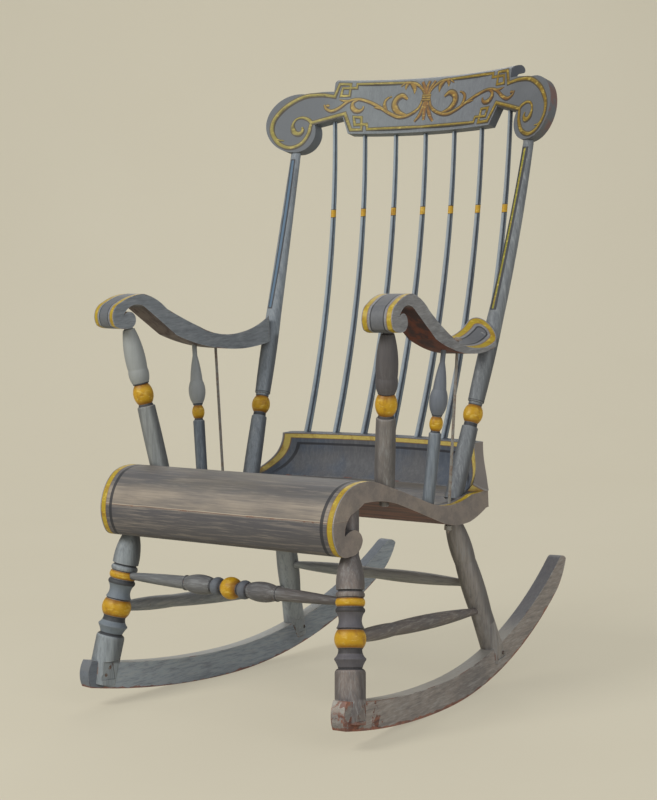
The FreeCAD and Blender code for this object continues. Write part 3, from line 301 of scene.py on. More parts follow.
def fill_yellow(g, sockets):
    """Yellow paint laid over the grey: darker dabs, pale brush marks, a brown painted shade in
    hollows and worn specks."""
    place, yellow, shade = sockets[:3]
    hollow_reach = 0.010
    dabs = g.noise(place, 60.0, 5.0, 0.6, 0.5)
    marks = g.streaks(place, (90.0, 90.0, 260.0), 4.0, 0.6)
    specks = g.noise(place, 150.0, 4.0, 0.6)
    colour = g.lay(yellow, shade, g.step(dabs, 0.50, 0.70), 0.55)
    colour = g.lay(colour, YELLOW_PALE, g.step(marks, 0.52, 0.70), 0.40)
    # Painted shade: brown where little of the room is open, in hollows.
    colour = g.lay(colour, shade, g.step(g.openness(hollow_reach), 0.92, 0.45), 0.80)
    colour = g.lay(colour, WOOD_DARK, g.step(specks, 0.69, 0.72), 0.6)
    return colour, g.total(0.38, g.product(dabs, 0.2))


YELLOW_PAINT = group(
    "yellow paint", (("Place", "Vector"), ("Yellow", "Color"), ("Shade", "Color")),
    (("Colour", "Color"), ("Roughness", "Float")), fill_yellow)


def fill_sided(g, sockets):
    """Paint tone by side: its left and right tones, blended across the chair's middle."""
    place, left, right = sockets[:3]
    half_blend = 0.24
    return (g.mix(g.step(g.parts(place)[0], -half_blend, half_blend), left, right),)


SIDED = group("paint by side", (("Place", "Vector"), ("Left", "Color"), ("Right", "Color")),
              (("Colour", "Color"),), fill_sided)


def by_side(g, place, left, right):
    """The left tone on the chair's left half and the right tone on its right half."""
    return use(g, SIDED, place, left, right)[0]


def fill_along(g, sockets):
    """Share of the way from one end to the other of a straight axis, on either side."""
    place, start, direction = sockets[:3]
    x, y, z = g.parts(place)
    folded = g.node("ShaderNodeCombineXYZ", g.absolute(x), y, z).outputs[0]
    return (g.vector("DOT_PRODUCT", g.vector("SUBTRACT", folded, start), direction),)


ALONG = group("share along axis",
              (("Place", "Vector"), ("Start", "Vector"), ("Direction", "Vector")),
              (("Share", "Float"),), fill_along)


def share_along(g, place, ends):
    """0 at the foot of a turned piece and 1 at its head."""
    start, end = ends
    direction = (end - start) / (end - start).length_squared
    return use(g, ALONG, place, tuple(start), tuple(direction))[0]


def on_right(g, x):
    """1 on the right half of the chair and 0 on its left half."""
    half_blend = 0.1
    return g.step(x, -half_blend, half_blend)


PAINT_SHINE = 0.35
BUMP_STRENGTH = 0.35
BUMP_HEIGHT = 0.0007


def blank_material(name):
    """A new material with its graph and the places, in the chair's frame, of its surface."""
    made = bpy.data.materials.new(name)
    made.use_nodes = True
    made.node_tree.nodes.clear()
    g = Graph(made.node_tree)
    return made, g, g.node("ShaderNodeTexCoord").outputs["Object"]


def material(name, fill):
    """A material whose fill(graph, place) returns its colour, roughness and height."""
    made, g, place = blank_material(name)
    shader = g.node("ShaderNodeBsdfPrincipled")
    colour, rough, height = fill(g, place)
    g.plug(colour, shader.inputs["Base Color"])
    g.plug(rough, shader.inputs["Roughness"])
    shader.inputs["Specular IOR Level"].default_value = PAINT_SHINE
    if height is not None:
        bump = g.node("ShaderNodeBump")
        bump.inputs["Strength"].default_value = BUMP_STRENGTH
        bump.inputs["Distance"].default_value = BUMP_HEIGHT
        g.plug(height, bump.inputs["Height"])
        g.plug(bump.outputs[0], shader.inputs["Normal"])
    g.node("ShaderNodeOutputMaterial", shader.outputs[0])
    return made


# Waves to the metre of the paint's streaks along the three axes: few along the grain.
GRAIN_UP = (170.0, 170.0, 12.0)
GRAIN_ACROSS = (12.0, 170.0, 170.0)
GRAIN_DEEP = (170.0, 12.0, 170.0)
GRAIN_UPRIGHT_BOARD = (150.0, 150.0, 26.0)
GRAIN_SEAT = (7.0, 150.0, 150.0)


def frame_paint(g, place, grain, wear, left, right, pale=PAINT_PALE, brush=0.8):
    """The chair's worn paint, with a tone for its left side and one for its right."""
    tone = by_side(g, place, left, right)
    return use(g, WORN_PAINT, place, grain, tone, PAINT_DARK, pale, WOOD_RED, wear, brush)


def lay_rings(g, place, colour, rough, share, gold, dark, deep=()):
    """Paints yellow, dark and deeper grey rings over a colour, each a pair of shares along
    the axis. A yellow ring turns brown towards both its rims, as a painted shade."""
    soft, rim_from_share = 0.0016, 0.42
    for low, high in deep:
        tone = by_side(g, place, RING_BLUE, RING_BROWN)
        colour = g.lay(colour, tone, g.band(share, low, high, soft), 0.80)
    for low, high in dark:
        colour = g.lay(colour, LINE_DARK, g.band(share, low, high, soft), 0.85)
    yellow, smooth = use(g, YELLOW_PAINT, place, BALL_YELLOW, YELLOW_SHADE)
    for low, high in gold:
        ring = g.band(share, low, high, soft)
        half = (high - low) / 2
        off_middle = g.absolute(g.less(share, low + half))
        # Painted shade: the yellow browns towards the ring's rims.
        rim = g.step(off_middle, half * rim_from_share, half)
        colour = g.mix(ring, colour, g.lay(yellow, YELLOW_SHADE, rim, 0.80))
        rough = g.mix(ring, rough, smooth)
    return colour, rough


# Turned pieces carry a painted shade on the side that faces this way.
SHADED_SIDE = Vector((0.77, 0.64, 0.0)).normalized()


def towards_shade(g):
    """1 where a surface faces the side that is painted darker, and -1 opposite it."""
    return g.vector("DOT_PRODUCT", g.normal(), tuple(SHADED_SIDE))


def paint_side_shade(g, colour):
    """Paints shade down the right side of a turned piece and a little down its left side."""
    right_from, left_from = (0.20, 0.80), (-0.50, -0.90)
    turned = towards_shade(g)
    right_shade = g.product(g.step(turned, *right_from), 0.55)
    left_shade = g.product(g.step(turned, *left_from), 0.40)
    return g.mix(g.total(right_shade, left_shade), colour, LINE_DARK)


def turned_material(name, ends, gold, dark, wear, left, right, deep=(), bare_foot=None,
                    head=None, cheek=0.0):
    """Paint for a turned piece, with its rings placed by share of its length. The right
    one's foot may be rubbed bare up to a share, its sides carry a painted shade above its flat
    cheeks, and above a share its head may have tones of its own."""
    cheek_fade, head_fade = 0.01, 0.002

    def fill(g, place):
        colour, rough, height = frame_paint(g, place, GRAIN_UP, wear, left, right)
        share = share_along(g, place, ends)
        # Painted shade down the piece's sides above its cheeks.
        colour = g.mix(g.step(share, cheek, cheek + cheek_fade), colour,
                       paint_side_shade(g, colour))
        if head:
            neck, head_left, head_right = head
            above = g.step(share, neck, neck + head_fade)
            colour = g.lay(colour, by_side(g, place, head_left, head_right), above, 0.75)
        colour, rough = lay_rings(g, place, colour, rough, share, gold, dark, deep)
        if bare_foot:
            ragged = g.total(share, g.product(g.noise(place, 55.0, 6.0, 0.6), bare_foot))
            bare = g.step(ragged, bare_foot * 0.78, bare_foot * 0.70)
            colour = g.lay(colour, WOOD_RED, bare, on_right(g, g.parts(place)[0]), 0.55)
        return colour, rough, height

    return material(name, fill)


def dress(made, *names):
    """Gives a material to the named solids."""
    for name in names:
        mesh = NODES[name].data
        mesh.materials.clear()
        mesh.materials.append(made)


def pair(stem):
    return stem + "_left", stem + "_right"


dress(turned_material(
    "paint of front legs", FRONT_LEG,
    gold=((0.322, 0.398), (0.4965, 0.532)),
    dark=((0.2285, 0.241), (0.297, 0.3205), (0.3995, 0.4045), (0.4715, 0.495),
          (0.5335, 0.5365), (0.5595, 0.567)),
    deep=((0.241, 0.297), (0.4045, 0.4715)),
    wear=0.10, bare_foot=0.06, cheek=0.10,
    left=srgb(136, 144, 149), right=srgb(122, 112, 106)),
    *pair("front_leg"))
# The left rear leg's tone is painted lighter: painted light that offsets the shade it stands
# in.
dress(turned_material(
    "paint of rear legs", REAR_LEG, gold=(), dark=(), wear=0.0, cheek=0.23,
    left=srgb(156, 163, 166), right=srgb(140, 134, 128)),
    *pair("rear_leg"))
dress(turned_material(
    "paint of arm posts", ARM_POST, gold=((0.497, 0.612),),
    dark=((0.484, 0.4965), (0.6125, 0.620)), wear=0.05,
    head=(0.620, srgb(146, 150, 149), srgb(70, 68, 72)),
    left=srgb(134, 138, 136), right=srgb(120, 114, 109)),
    *pair("arm_post"))
dress(turned_material(
    "paint of arm spindles", ARM_SPINDLE, gold=((0.4965, 0.580),),
    dark=((0.486, 0.496), (0.584, 0.592)), wear=0.0,
    head=(0.592, srgb(150, 153, 152), srgb(100, 105, 114)),
    left=srgb(112, 124, 134), right=srgb(116, 125, 134)),
    *pair("arm_spindle"))


def fill_back_post(g, place):
    """Post paint with its ball, its collars, painted shade down its sides below the knee and a
    striped line up its bent front face: yellow on the right post and, as a painted shade of
    that yellow, blue on the left one, between dark edges."""
    colour, rough, height = frame_paint(
        g, place, GRAIN_UP, 0.0, left=srgb(126, 134, 141), right=srgb(112, 117, 121))
    x, _, z = g.parts(place)
    right = on_right(g, x)
    below_knee = g.step(z, *KNEE_SHADE)
    # Painted shade down the post's sides below its knee.
    colour = g.mix(below_knee, colour, paint_side_shade(g, colour))
    ring_share = g.total(share_along(g, place, BACK_POST), g.less(1.0, below_knee))
    colour, rough = lay_rings(g, place, colour, rough, ring_share, gold=((0.466, 0.552),),
                              dark=((0.448, 0.465), (0.5525, 0.556), (0.5745, 0.578)))

    half, narrower_right, edge_width, edge_wider_right = 0.0026, 0.0006, 0.0024, 0.0020
    soft, end_soft, past_end = 0.0004, 0.0006, 0.0022
    low, high = POST_STRIPE
    # The left post's blue stripe is a painted shade of the right one's yellow.
    stripe_yellow, stripe_shade_blue = srgb(132, 128, 40), srgb(82, 106, 128)
    slope = (POST_HEAD[0] - POST_KNEE[0]) / (POST_HEAD[1] - POST_KNEE[1])
    middle = g.math("MULTIPLY_ADD", z, slope, POST_KNEE[0] - POST_KNEE[1] * slope)
    off = g.absolute(g.less(g.absolute(x), middle))
    off = g.math("MULTIPLY_ADD", right, narrower_right, off)
    off_edge = g.math("MULTIPLY_ADD", right, -edge_wider_right, off)
    facing = g.step(g.parts(g.normal())[1], -0.25, -0.40)
    edge = g.product(g.step(off_edge, half + edge_width + soft, half + edge_width - soft),
                     g.band(z, low - past_end, high + past_end, end_soft))
    stripe = g.product(g.step(off, half + soft, half - soft),
                       g.band(z, low, high, end_soft))
    yellow = use(g, YELLOW_PAINT, place, stripe_yellow, YELLOW_SHADE)[0]
    colour = g.lay(colour, LINE_DARK, facing, edge, 0.9)
    colour = g.lay(colour, g.mix(right, stripe_shade_blue, yellow), facing, stripe)
    return colour, rough, height


dress(material("paint of back posts", fill_back_post), *pair("back_post"))


def fill_spindle(g, place):
    """Spindle paint: a yellow ring at one height, a painted shade line up its front right side
    and a painted highlight up its left side."""
    shadow_line, highlight_line = srgb(42, 48, 58), srgb(162, 172, 180)
    shadow_sides, highlight_from = (-0.08, 0.44), (-0.20, -0.60)
    lip, lip_soft, ring_soft = 0.0012, 0.0004, 0.0005
    low, high = SPINDLE_RING
    colour, rough, height = frame_paint(
        g, place, GRAIN_UP, -0.10, left=srgb(120, 136, 148), right=srgb(112, 122, 132))
    turned = towards_shade(g)
    # A painted shade line up the right side and a painted highlight up the left side.
    colour = g.lay(colour, shadow_line, g.band(turned, *shadow_sides, 0.05), 0.92)
    colour = g.lay(colour, highlight_line, g.step(turned, *highlight_from), 0.6)
    z = g.parts(place)[2]
    colour = g.lay(colour, LINE_DARK, g.band(z, low - lip, high + lip, lip_soft), 0.8)
    yellow, smooth = use(g, YELLOW_PAINT, place, BALL_YELLOW, YELLOW_SHADE)
    ring = g.band(z, low, high, ring_soft)
    return g.mix(ring, colour, yellow), g.mix(ring, rough, smooth), height


dress(material("paint of spindles", fill_spindle),
      *("back_spindle_%d" % rank for rank in range(1, 8)))


def fill_front_stretcher(g, place):
    """Stretcher paint, with its middle ball in yellow and dark grooves beside it; its rings
    are placed by share of its length from the middle."""
    low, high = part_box("front_stretcher")
    length = high.x - low.x
    colour, rough, height = frame_paint(
        g, place, GRAIN_ACROSS, 0.06, left=srgb(106, 109, 111), right=srgb(86, 80, 77))
    share = g.math("DIVIDE", g.absolute(g.parts(place)[0]), length)
    colour, rough = lay_rings(
        g, place, colour, rough, share, gold=((-0.033, 0.033),),
        dark=((0.0345, 0.0435), (0.0765, 0.0835), (0.1995, 0.2015), (0.2085, 0.2105)),
        deep=((0.0435, 0.0765),))
    return colour, rough, height


dress(material("paint of front stretcher", fill_front_stretcher), "front_stretcher")


def stretcher_paint(name, grain, right):
    """Plain paint of a stretcher, pale on the left, streaked along its length."""

    def fill(g, place):
        return frame_paint(g, place, grain, 0.0, left=srgb(148, 153, 155), right=right,
                           pale=srgb(176, 176, 170))

    return material(name, fill)


dress(stretcher_paint("paint of rear stretcher", GRAIN_ACROSS, srgb(146, 144, 138)),
      "rear_stretcher")
dress(stretcher_paint("paint of side stretchers", GRAIN_DEEP, srgb(106, 98, 93)),
      *pair("side_stretcher"))


def lay_edge_stripe(g, place, colour, rough, inset, gold, dark, shown, yellow=STRIPE_YELLOW):
    """A yellow stripe and a dark line at set distances in from an edge, where shown; the
    paint is rubbed pale on the edge itself and brown beside the stripe."""
    waver, soft, stripe_soft = 0.0010, 0.0005, 0.0006
    brown_before, brown_past = 0.0008, 0.0012
    near, far = gold
    ragged = g.math("MULTIPLY_ADD", g.noise(place, 60.0, 3.0), waver, inset)
    brown = g.band(ragged, near - brown_before, far + brown_past, soft)
    colour = g.lay(colour, PAINT_PALE, shown, g.step(ragged, near, 0.0), 0.6)
    colour = g.lay(colour, LINE_DARK, shown, g.band(ragged, *dark, soft), 0.9)
    colour = g.lay(colour, YELLOW_SHADE, shown, brown, 0.6)
    stripe = g.product(shown, g.band(ragged, near, far, stripe_soft))
    laid, smooth = use(g, YELLOW_PAINT, place, yellow, YELLOW_SHADE)
    return g.mix(stripe, colour, laid), g.mix(stripe, rough, smooth)


def seat_tone(g, place, behind_front, z):
    """Grey paint with warm patches, a painted highlight band on the roll above its glue line
    and a painted shade band below it; also returns where the shade band and the roll are."""
    grey, brown = srgb(90, 90, 92), srgb(104, 100, 94)
    highlight_warm, shade_cool = srgb(146, 136, 123), srgb(80, 79, 83)
    roll_face, highlight_height, highlight_soft, shade_drop = (0.055, 0.030), 0.030, 0.009, 0.004
    warm = g.streaks(place, (3.0, 14.0, 14.0), 4.0, 0.6)
    on_roll = g.step(behind_front, *roll_face)
    # A painted highlight band above the glue line and a painted shade band below it.
    highlight_band = g.band(z, GLUE_LINE, GLUE_LINE + highlight_height, highlight_soft)
    shade_band = g.product(g.step(z, GLUE_LINE, GLUE_LINE - shade_drop), on_roll)
    patchy = g.math("MULTIPLY_ADD", g.step(warm, 0.36, 0.58), 0.5, 0.5)
    tone = g.mix(g.step(warm, 0.40, 0.62), grey, brown)
    tone = g.lay(tone, highlight_warm, highlight_band, on_roll, patchy)
    return g.lay(tone, shade_cool, shade_band, 0.85), shade_band, on_roll


def lay_glue_line(g, place, colour, z, on_roll):
    """The crack that wanders along the roll's glue line, with a rubbed lip above it."""
    crack_brown, lip_pale = srgb(104, 66, 48), srgb(196, 184, 164)
    crack, lip, wander_height = (0.0, 0.0010), (0.0012, 0.0022), 0.004
    wander = g.math("MULTIPLY_ADD", g.streaks(place, (8.0, 0.0, 0.0), 2.0), wander_height,
                    GLUE_LINE - wander_height / 2)
    above = g.less(z, wander)
    colour = g.lay(colour, crack_brown, g.band(above, *crack, 0.0004), on_roll, 0.75)
    return g.lay(colour, lip_pale, g.band(above, *lip, 0.0005), on_roll, 0.55)


def seat_inset(g, x, y):
    """Distance in from the seat's bowed side edge: a parabola along its length."""
    middle = (SEAT_FRONT + SEAT_SIDE_END) / 2
    half_length = (SEAT_SIDE_END - SEAT_FRONT) / 2
    along = g.math("DIVIDE", g.less(y, middle), half_length)
    bow = g.math("MULTIPLY_ADD", g.product(along, along), -SEAT_SIDE_BOW,
                 SEAT_HALF_WIDTH + SEAT_SIDE_BOW)
    return g.less(bow, g.absolute(x))


def fill_seat(g, place):
    """Seat paint: streaks across the chair, a crack along the glue line of the roll, stripes
    in from both ends that stop at its hollow, and a red-brown underside."""
    end_pale, end_dark = srgb(138, 127, 119), srgb(118, 110, 105)
    under_red, under_dark = srgb(112, 72, 60), srgb(76, 52, 48)
    shade, pale = srgb(82, 80, 82), srgb(164, 154, 140)
    worn_end, stripe_end = (-0.08, -0.22), (0.004, -0.002)
    roll_round, hollow_front, hollow_back = (0.045, 0.030), (0.018, 0.022), (0.080, 0.070)
    under_front = (0.040, 0.060)
    x, y, z = g.parts(place)
    normal = g.parts(g.normal())
    behind_front = g.less(y, SEAT_FRONT)
    tone, shade_band, on_roll = seat_tone(g, place, behind_front, z)
    wear = g.product(shade_band, 0.22, g.step(x, *worn_end))
    colour, rough, height = use(g, WORN_PAINT, place, GRAIN_SEAT, tone, shade, pale,
                                WOOD_RED, wear, 0.75)
    colour = lay_glue_line(g, place, colour, z, on_roll)

    outward = g.absolute(normal[0])
    in_hollow = g.product(g.band(z, *ROLL_HOLLOW, 0.004), g.step(behind_front, *hollow_front),
                          g.step(behind_front, *hollow_back))
    upper = g.math("MAXIMUM", g.step(normal[2], -0.05, 0.10),
                   g.step(behind_front, *roll_round))
    before_corner = g.step(g.less(y, SEAT_SIDE_END), *stripe_end)
    shown = g.product(g.step(outward, 0.80, 0.60), g.less(upper, in_hollow, clamp=True),
                      before_corner)
    colour, rough = lay_edge_stripe(g, place, colour, rough, seat_inset(g, x, y),
                                    SEAT_STRIPE, SEAT_LINE, shown)

    end_tone = g.mix(g.step(g.noise(place, 30.0, 6.0, 0.65), 0.42, 0.62), end_pale, end_dark)
    colour = g.lay(colour, end_tone, g.step(outward, 0.70, 0.85), 0.7)
    raw = g.mix(g.step(g.streaks(place, (6.0, 60.0, 60.0), 5.0), 0.40, 0.62),
                under_red, under_dark)
    colour = g.lay(colour, raw, g.step(normal[2], -0.15, -0.45),
                   g.step(behind_front, *under_front))
    return colour, rough, height


dress(material("paint of seat", fill_seat), "seat_plank", "seat_front_roll")


def fill_rise(g, place):
    """Rise board: blue-grey panel, a yellow stripe along its top and swept ends. The ends
    are arcs in the front view; distances to them are measured along the turned board."""
    panel_blue, panel_grey, end_pale = srgb(76, 84, 96), srgb(88, 89, 92), srgb(134, 126, 120)
    shade, pale, stripe_pale = srgb(60, 65, 74), srgb(116, 118, 120), srgb(190, 170, 92)
    wider_at_ends, least_slope, rubbed_end = 0.60, 0.30, (0.0040, 0.0020)
    x, _, z = g.parts(place)
    normal = g.parts(g.normal())
    tone = g.mix(g.step(g.noise(place, 9.0, 5.0), 0.42, 0.60), panel_blue, panel_grey)
    colour, rough, height = use(
        g, WORN_PAINT, place, GRAIN_UPRIGHT_BOARD, tone, shade, pale, WOOD_RED, -0.05, 0.6)
    across = g.less(g.absolute(x), RISE_SWEEP_CENTRE[0])
    lift = g.less(z, RISE_SWEEP_CENTRE[1])
    reach = g.hypotenuse(across, lift)
    flat_share = g.math("DIVIDE", g.product(across, normal[1]), reach)
    tall_share = g.math("DIVIDE", lift, reach)
    slope = g.math("MAXIMUM", g.hypotenuse(flat_share, tall_share), least_slope)
    from_end = g.product(g.math("DIVIDE", g.less(reach, RISE_SWEEP_RADIUS), slope),
                         wider_at_ends)
    inset = g.math("MINIMUM", g.less(RISE_TOP, z), from_end)
    inward = g.product(normal[0], g.math("SIGN", x), -1.0)
    front = g.step(g.math("MAXIMUM", g.product(normal[1], -1.0), inward), 0.10, 0.30)
    shown = g.product(front, g.step(normal[2], 0.75, 0.55))
    colour = g.lay(colour, end_pale, g.step(from_end, *rubbed_end), 0.8)
    colour, rough = lay_edge_stripe(g, place, colour, rough, inset, RISE_STRIPE, RISE_LINE,
                                    shown, stripe_pale)
    return colour, rough, height


dress(material("paint of rise board", fill_rise), "seat_back_rise")


def arm_inset(g, inward, back):
    """Distance in from an arm's edge: to the nearer side in front, and behind to the sides,
    the back and the round between them. The arm widens towards the hand."""
    rear = (0.24, 0.26)
    flare_back, flare_front = ARM_FLARE_SHARES
    flare = g.step(back, ARM_LENGTH * flare_back, ARM_LENGTH * flare_front)
    width = g.math("MULTIPLY_ADD", flare, ARM_FLARE, ARM_WIDTH)
    to_side = g.math("MINIMUM", inward, g.less(width, inward))
    off_middle = g.absolute(g.less(inward, ARM_WIDTH / 2))
    past_side = g.math("MAXIMUM", g.less(off_middle, ARM_WIDTH / 2 - ARM_ROUND), 0.0)
    past_back = g.math("MAXIMUM", g.less(back, ARM_LENGTH - ARM_ROUND), 0.0)
    to_round = g.less(ARM_ROUND, g.hypotenuse(past_side, past_back))
    return g.mix(g.step(back, *rear), to_side, to_round)


def fill_arm(g, place):
    """Arm paint: a dark middle, a stripe and a line along both edges and round the back,
    and bare brown wood beneath."""
    middle_dark, bare_left, bare_right = srgb(86, 89, 94), srgb(104, 92, 88), srgb(112, 70, 58)
    bare_dark = srgb(72, 58, 58)
    on_curl, behind_curl, dark_from = (0.058, 0.040), (0.058, 0.075), (0.0150, 0.0165)
    x, y, _ = g.parts(place)
    cosine, sine = math.cos(ARM_SPLAY), math.sin(ARM_SPLAY)
    outward_x = g.less(g.absolute(x), ARM_CORNER.x)
    back_y = g.less(y, ARM_CORNER.y)
    inward = g.math("MULTIPLY_ADD", outward_x, -cosine, g.product(back_y, -sine))
    back = g.math("MULTIPLY_ADD", outward_x, -sine, g.product(back_y, cosine))
    colour, rough, height = frame_paint(
        g, place, GRAIN_DEEP, 0.0, left=srgb(122, 128, 134), right=srgb(126, 126, 128))
    inset = arm_inset(g, inward, back)
    turned = g.normal()
    normal_up = g.parts(turned)[2]
    sideways = g.vector("DOT_PRODUCT", g.vector("ABSOLUTE", turned), (cosine, sine, 0.0))
    upper = g.math("MAXIMUM", g.step(normal_up, 0.10, 0.30), g.step(back, *on_curl))
    shown = g.product(upper, g.step(sideways, 0.80, 0.62))
    colour = g.lay(colour, middle_dark, shown, g.step(inset, *dark_from), 0.75)
    colour, rough = lay_edge_stripe(g, place, colour, rough, inset,
                                    ARM_STRIPE, ARM_LINE, shown)
    grain = g.streaks(place, (70.0, 8.0, 70.0), 6.0, 0.65)
    raw = g.mix(g.step(grain, 0.42, 0.60), by_side(g, place, bare_left, bare_right),
                bare_dark)
    colour = g.lay(colour, raw, g.step(normal_up, -0.25, -0.50),
                   g.step(back, *behind_curl))
    return colour, rough, height


dress(material("paint of arms", fill_arm), *pair("arm"))


def above_sole(g, y, z):
    """Height above the rocker's sole: two arcs that meet where it touches the floor, of
    one radius in front and another behind."""
    meet = (0.001, -0.001)
    behind = g.less(y, CONTACT_Y)
    from_contact = g.math("DIVIDE", behind, math.cos(ROCKER_SPLAY))
    in_front = g.step(behind, *meet)
    rear, front = (g.less(radius, g.hypotenuse(from_contact, g.less(radius, z)))
                   for radius in (ROCKER_REAR_RADIUS, ROCKER_FRONT_RADIUS))
    return g.mix(in_front, rear, front)


def fill_rocker(g, place):
    """Rocker paint, pale on top in front and with painted shade on top of the tail, worn
    through to red-brown wood along its sole and about the right one's nose; the left nose is
    navy."""
    top_pale, tail_top_shade, nose_navy = srgb(166, 164, 156), srgb(84, 90, 102), srgb(80, 86, 96)
    bare_red, bare_dark = srgb(146, 94, 74), srgb(112, 70, 58)
    worn_front, worn_sole, tail = (-0.18, -0.30), (0.06, -0.05), (0.14, 0.22)
    navy_nose, bare_nose = (-0.330, -0.352), (-0.325, -0.350)
    ragged_height, higher_right, sole_edge = 0.016, 0.0022, (-0.0052, -0.0066)
    x, y, z = g.parts(place)
    normal = g.parts(g.normal())
    right = on_right(g, x)
    front_wear = g.product(g.step(y, *worn_front), right, 0.75)
    colour, rough, height = frame_paint(
        g, place, GRAIN_DEEP, front_wear, left=srgb(152, 162, 171), right=srgb(140, 132, 126),
        pale=srgb(176, 177, 174))
    on_top = g.product(g.step(normal[2], 0.15, 0.30),
                       g.step(g.absolute(normal[0]), 0.70, 0.50))
    # Painted shade on top of the tail.
    top_pale_and_shade = g.mix(g.step(y, *tail), top_pale, tail_top_shade)
    colour = g.lay(colour, top_pale_and_shade, on_top, 0.60)
    colour = g.lay(colour, nose_navy, g.step(y, *navy_nose), g.less(1.0, right), 0.75)

    ragged = g.math("MULTIPLY_ADD", g.noise(place, 38.0, 6.0, 0.62), -ragged_height,
                    above_sole(g, y, z))
    right_front = g.product(right, g.step(y, *worn_sole))
    sole = g.step(g.math("MULTIPLY_ADD", right_front, -higher_right, ragged), *sole_edge)
    patchy = g.step(g.noise(place, 42.0, 8.0, 0.68, 0.3), 0.545, 0.565)
    right_nose = g.product(g.step(y, *bare_nose), right, patchy)
    bare = g.mix(g.step(g.noise(place, 45.0, 5.0), 0.40, 0.60), bare_red, bare_dark)
    colour = g.lay(colour, bare, g.math("MAXIMUM", sole, right_nose), 0.8)
    return colour, rough, height


dress(material("paint of rockers", fill_rocker), *pair("rocker"))


def fill_crest(g, place):
    """Crest paint: cool grey face with soft brush marks, darker ears, tips rubbed to the
    wood and a navy painted shade on the ends of the rolled top."""
    ear_dark, roll_end_shade = srgb(92, 96, 101), srgb(70, 74, 84)
    colour, rough, height = frame_paint(
        g, place, GRAIN_UPRIGHT_BOARD, -0.10, left=srgb(117, 124, 127),
        right=srgb(106, 110, 116), pale=srgb(142, 147, 150), brush=0.40)
    off_middle = g.absolute(g.parts(place)[0])
    normal = g.parts(g.normal())
    cloud = g.step(g.noise(place, 12.0, 3.0), 0.25, 0.55)
    colour = g.lay(colour, ear_dark, g.step(off_middle, *CREST_EARS), cloud, 0.8)
    patchy = g.step(g.noise(place, 40.0, 6.0, 0.65), 0.42, 0.56)
    off_face = g.step(normal[1], -0.80, -0.50)
    colour = g.lay(colour, WOOD_RED, g.step(off_middle, *CREST_TIPS), off_face, patchy, 0.5)
    # Painted shade in navy on the ends of the rolled top.
    end_face = g.step(g.absolute(normal[0]), 0.80, 0.92)
    colour = g.lay(colour, roll_end_shade, end_face, g.step(off_middle, *CREST_ROLL_END), 0.6)
    return colour, rough, height


dress(material("paint of crest", fill_crest), "crest_rail")


def fill_bare_wood(g, place):
    grain = g.streaks(place, (40.0, 220.0, 220.0), 5.0)
    return g.mix(grain, WOOD_RED, WOOD_DARK), 0.65, grain


def fill_iron(g, place):
    iron_grey, rust_brown = srgb(132, 130, 124), srgb(120, 104, 92)
    rust = g.noise(place, 120.0, 6.0, 0.7)
    colour = g.mix(g.step(rust, 0.46, 0.62), iron_grey, rust_brown)
    return colour, g.math("MULTIPLY_ADD", rust, 0.3, 0.45), rust


def fill_peg(g, place):
    """Peg ends, painted over with the rocker and rubbed brown."""
    painted, worn_brown = srgb(126, 122, 118), srgb(96, 76, 66)
    rubbed = g.step(g.noise(place, 160.0, 4.0), 0.45, 0.60)
    return g.mix(rubbed, painted, worn_brown), 0.6, rubbed


dress(material("bare wood", fill_bare_wood), "seat_dowels")
dress(material("peg ends", fill_peg), "rocker_pegs")
dress(material("old iron", fill_iron), "tie_rod_nuts", *pair("tie_rod"))


# Painted ornament on the crest. Its lines are drawn in the crest's own plane, in millimetres:
# the first number is the distance from the middle, the second the height above the crest's
# bottom edge. A stroke is wider than the width it is given by the gain, because its dark rims
# lie outside its yellow.

MM = 0.001
FILM = 0.00035
# The way, in the crest's plane, towards which each stroke carries a painted shade; its other
# side carries a painted highlight.
SHADE_SIDE = np.array((0.55, -0.83))
STROKE_STATIONS = 90
DAB_STATIONS = 20
DAB_TIP = 0.05
RIM_GAIN = 1.80


def crest_surface(half, up, lift):
    """Points of the crest's front face: a cylinder about an upright axis in front of it,
    tipped back by the lean; lift stands off towards the axis."""
    radius = CREST_RADIUS - lift
    deep = np.sqrt(radius ** 2 - half ** 2)
    sine, cosine = math.sin(CREST_LEAN), math.cos(CREST_LEAN)
    y = CREST_BACK + (deep - CREST_RADIUS) * cosine + up * sine
    z = CREST_BOTTOM - (deep - CREST_RADIUS) * sine + up * cosine
    return np.stack((half, y, z), axis=-1)


def smooth_path(points, count):
    """A Catmull-Rom curve through given points, sampled evenly by arc length."""
    finer = 40
    knots = np.array(points, float) * MM
    knots = np.vstack((2 * knots[0] - knots[1], knots, 2 * knots[-1] - knots[-2]))
    run = np.linspace(0, len(points) - 1 - 1e-9, finer * len(points))
    span = run.astype(int)
    u = (run - span)[:, None]
    a, b, c, d = (knots[span + ahead] for ahead in range(4))
    curve = 0.5 * (2 * b + (c - a) * u + (2 * a - 5 * b + 4 * c - d) * u ** 2
                   + (3 * b - a - 3 * c + d) * u ** 3)
    length = np.concatenate(([0], np.cumsum(np.linalg.norm(np.diff(curve, axis=0), axis=1))))
    at = np.linspace(0, length[-1], count)
    return np.stack([np.interp(at, length, part) for part in curve.T], axis=1)


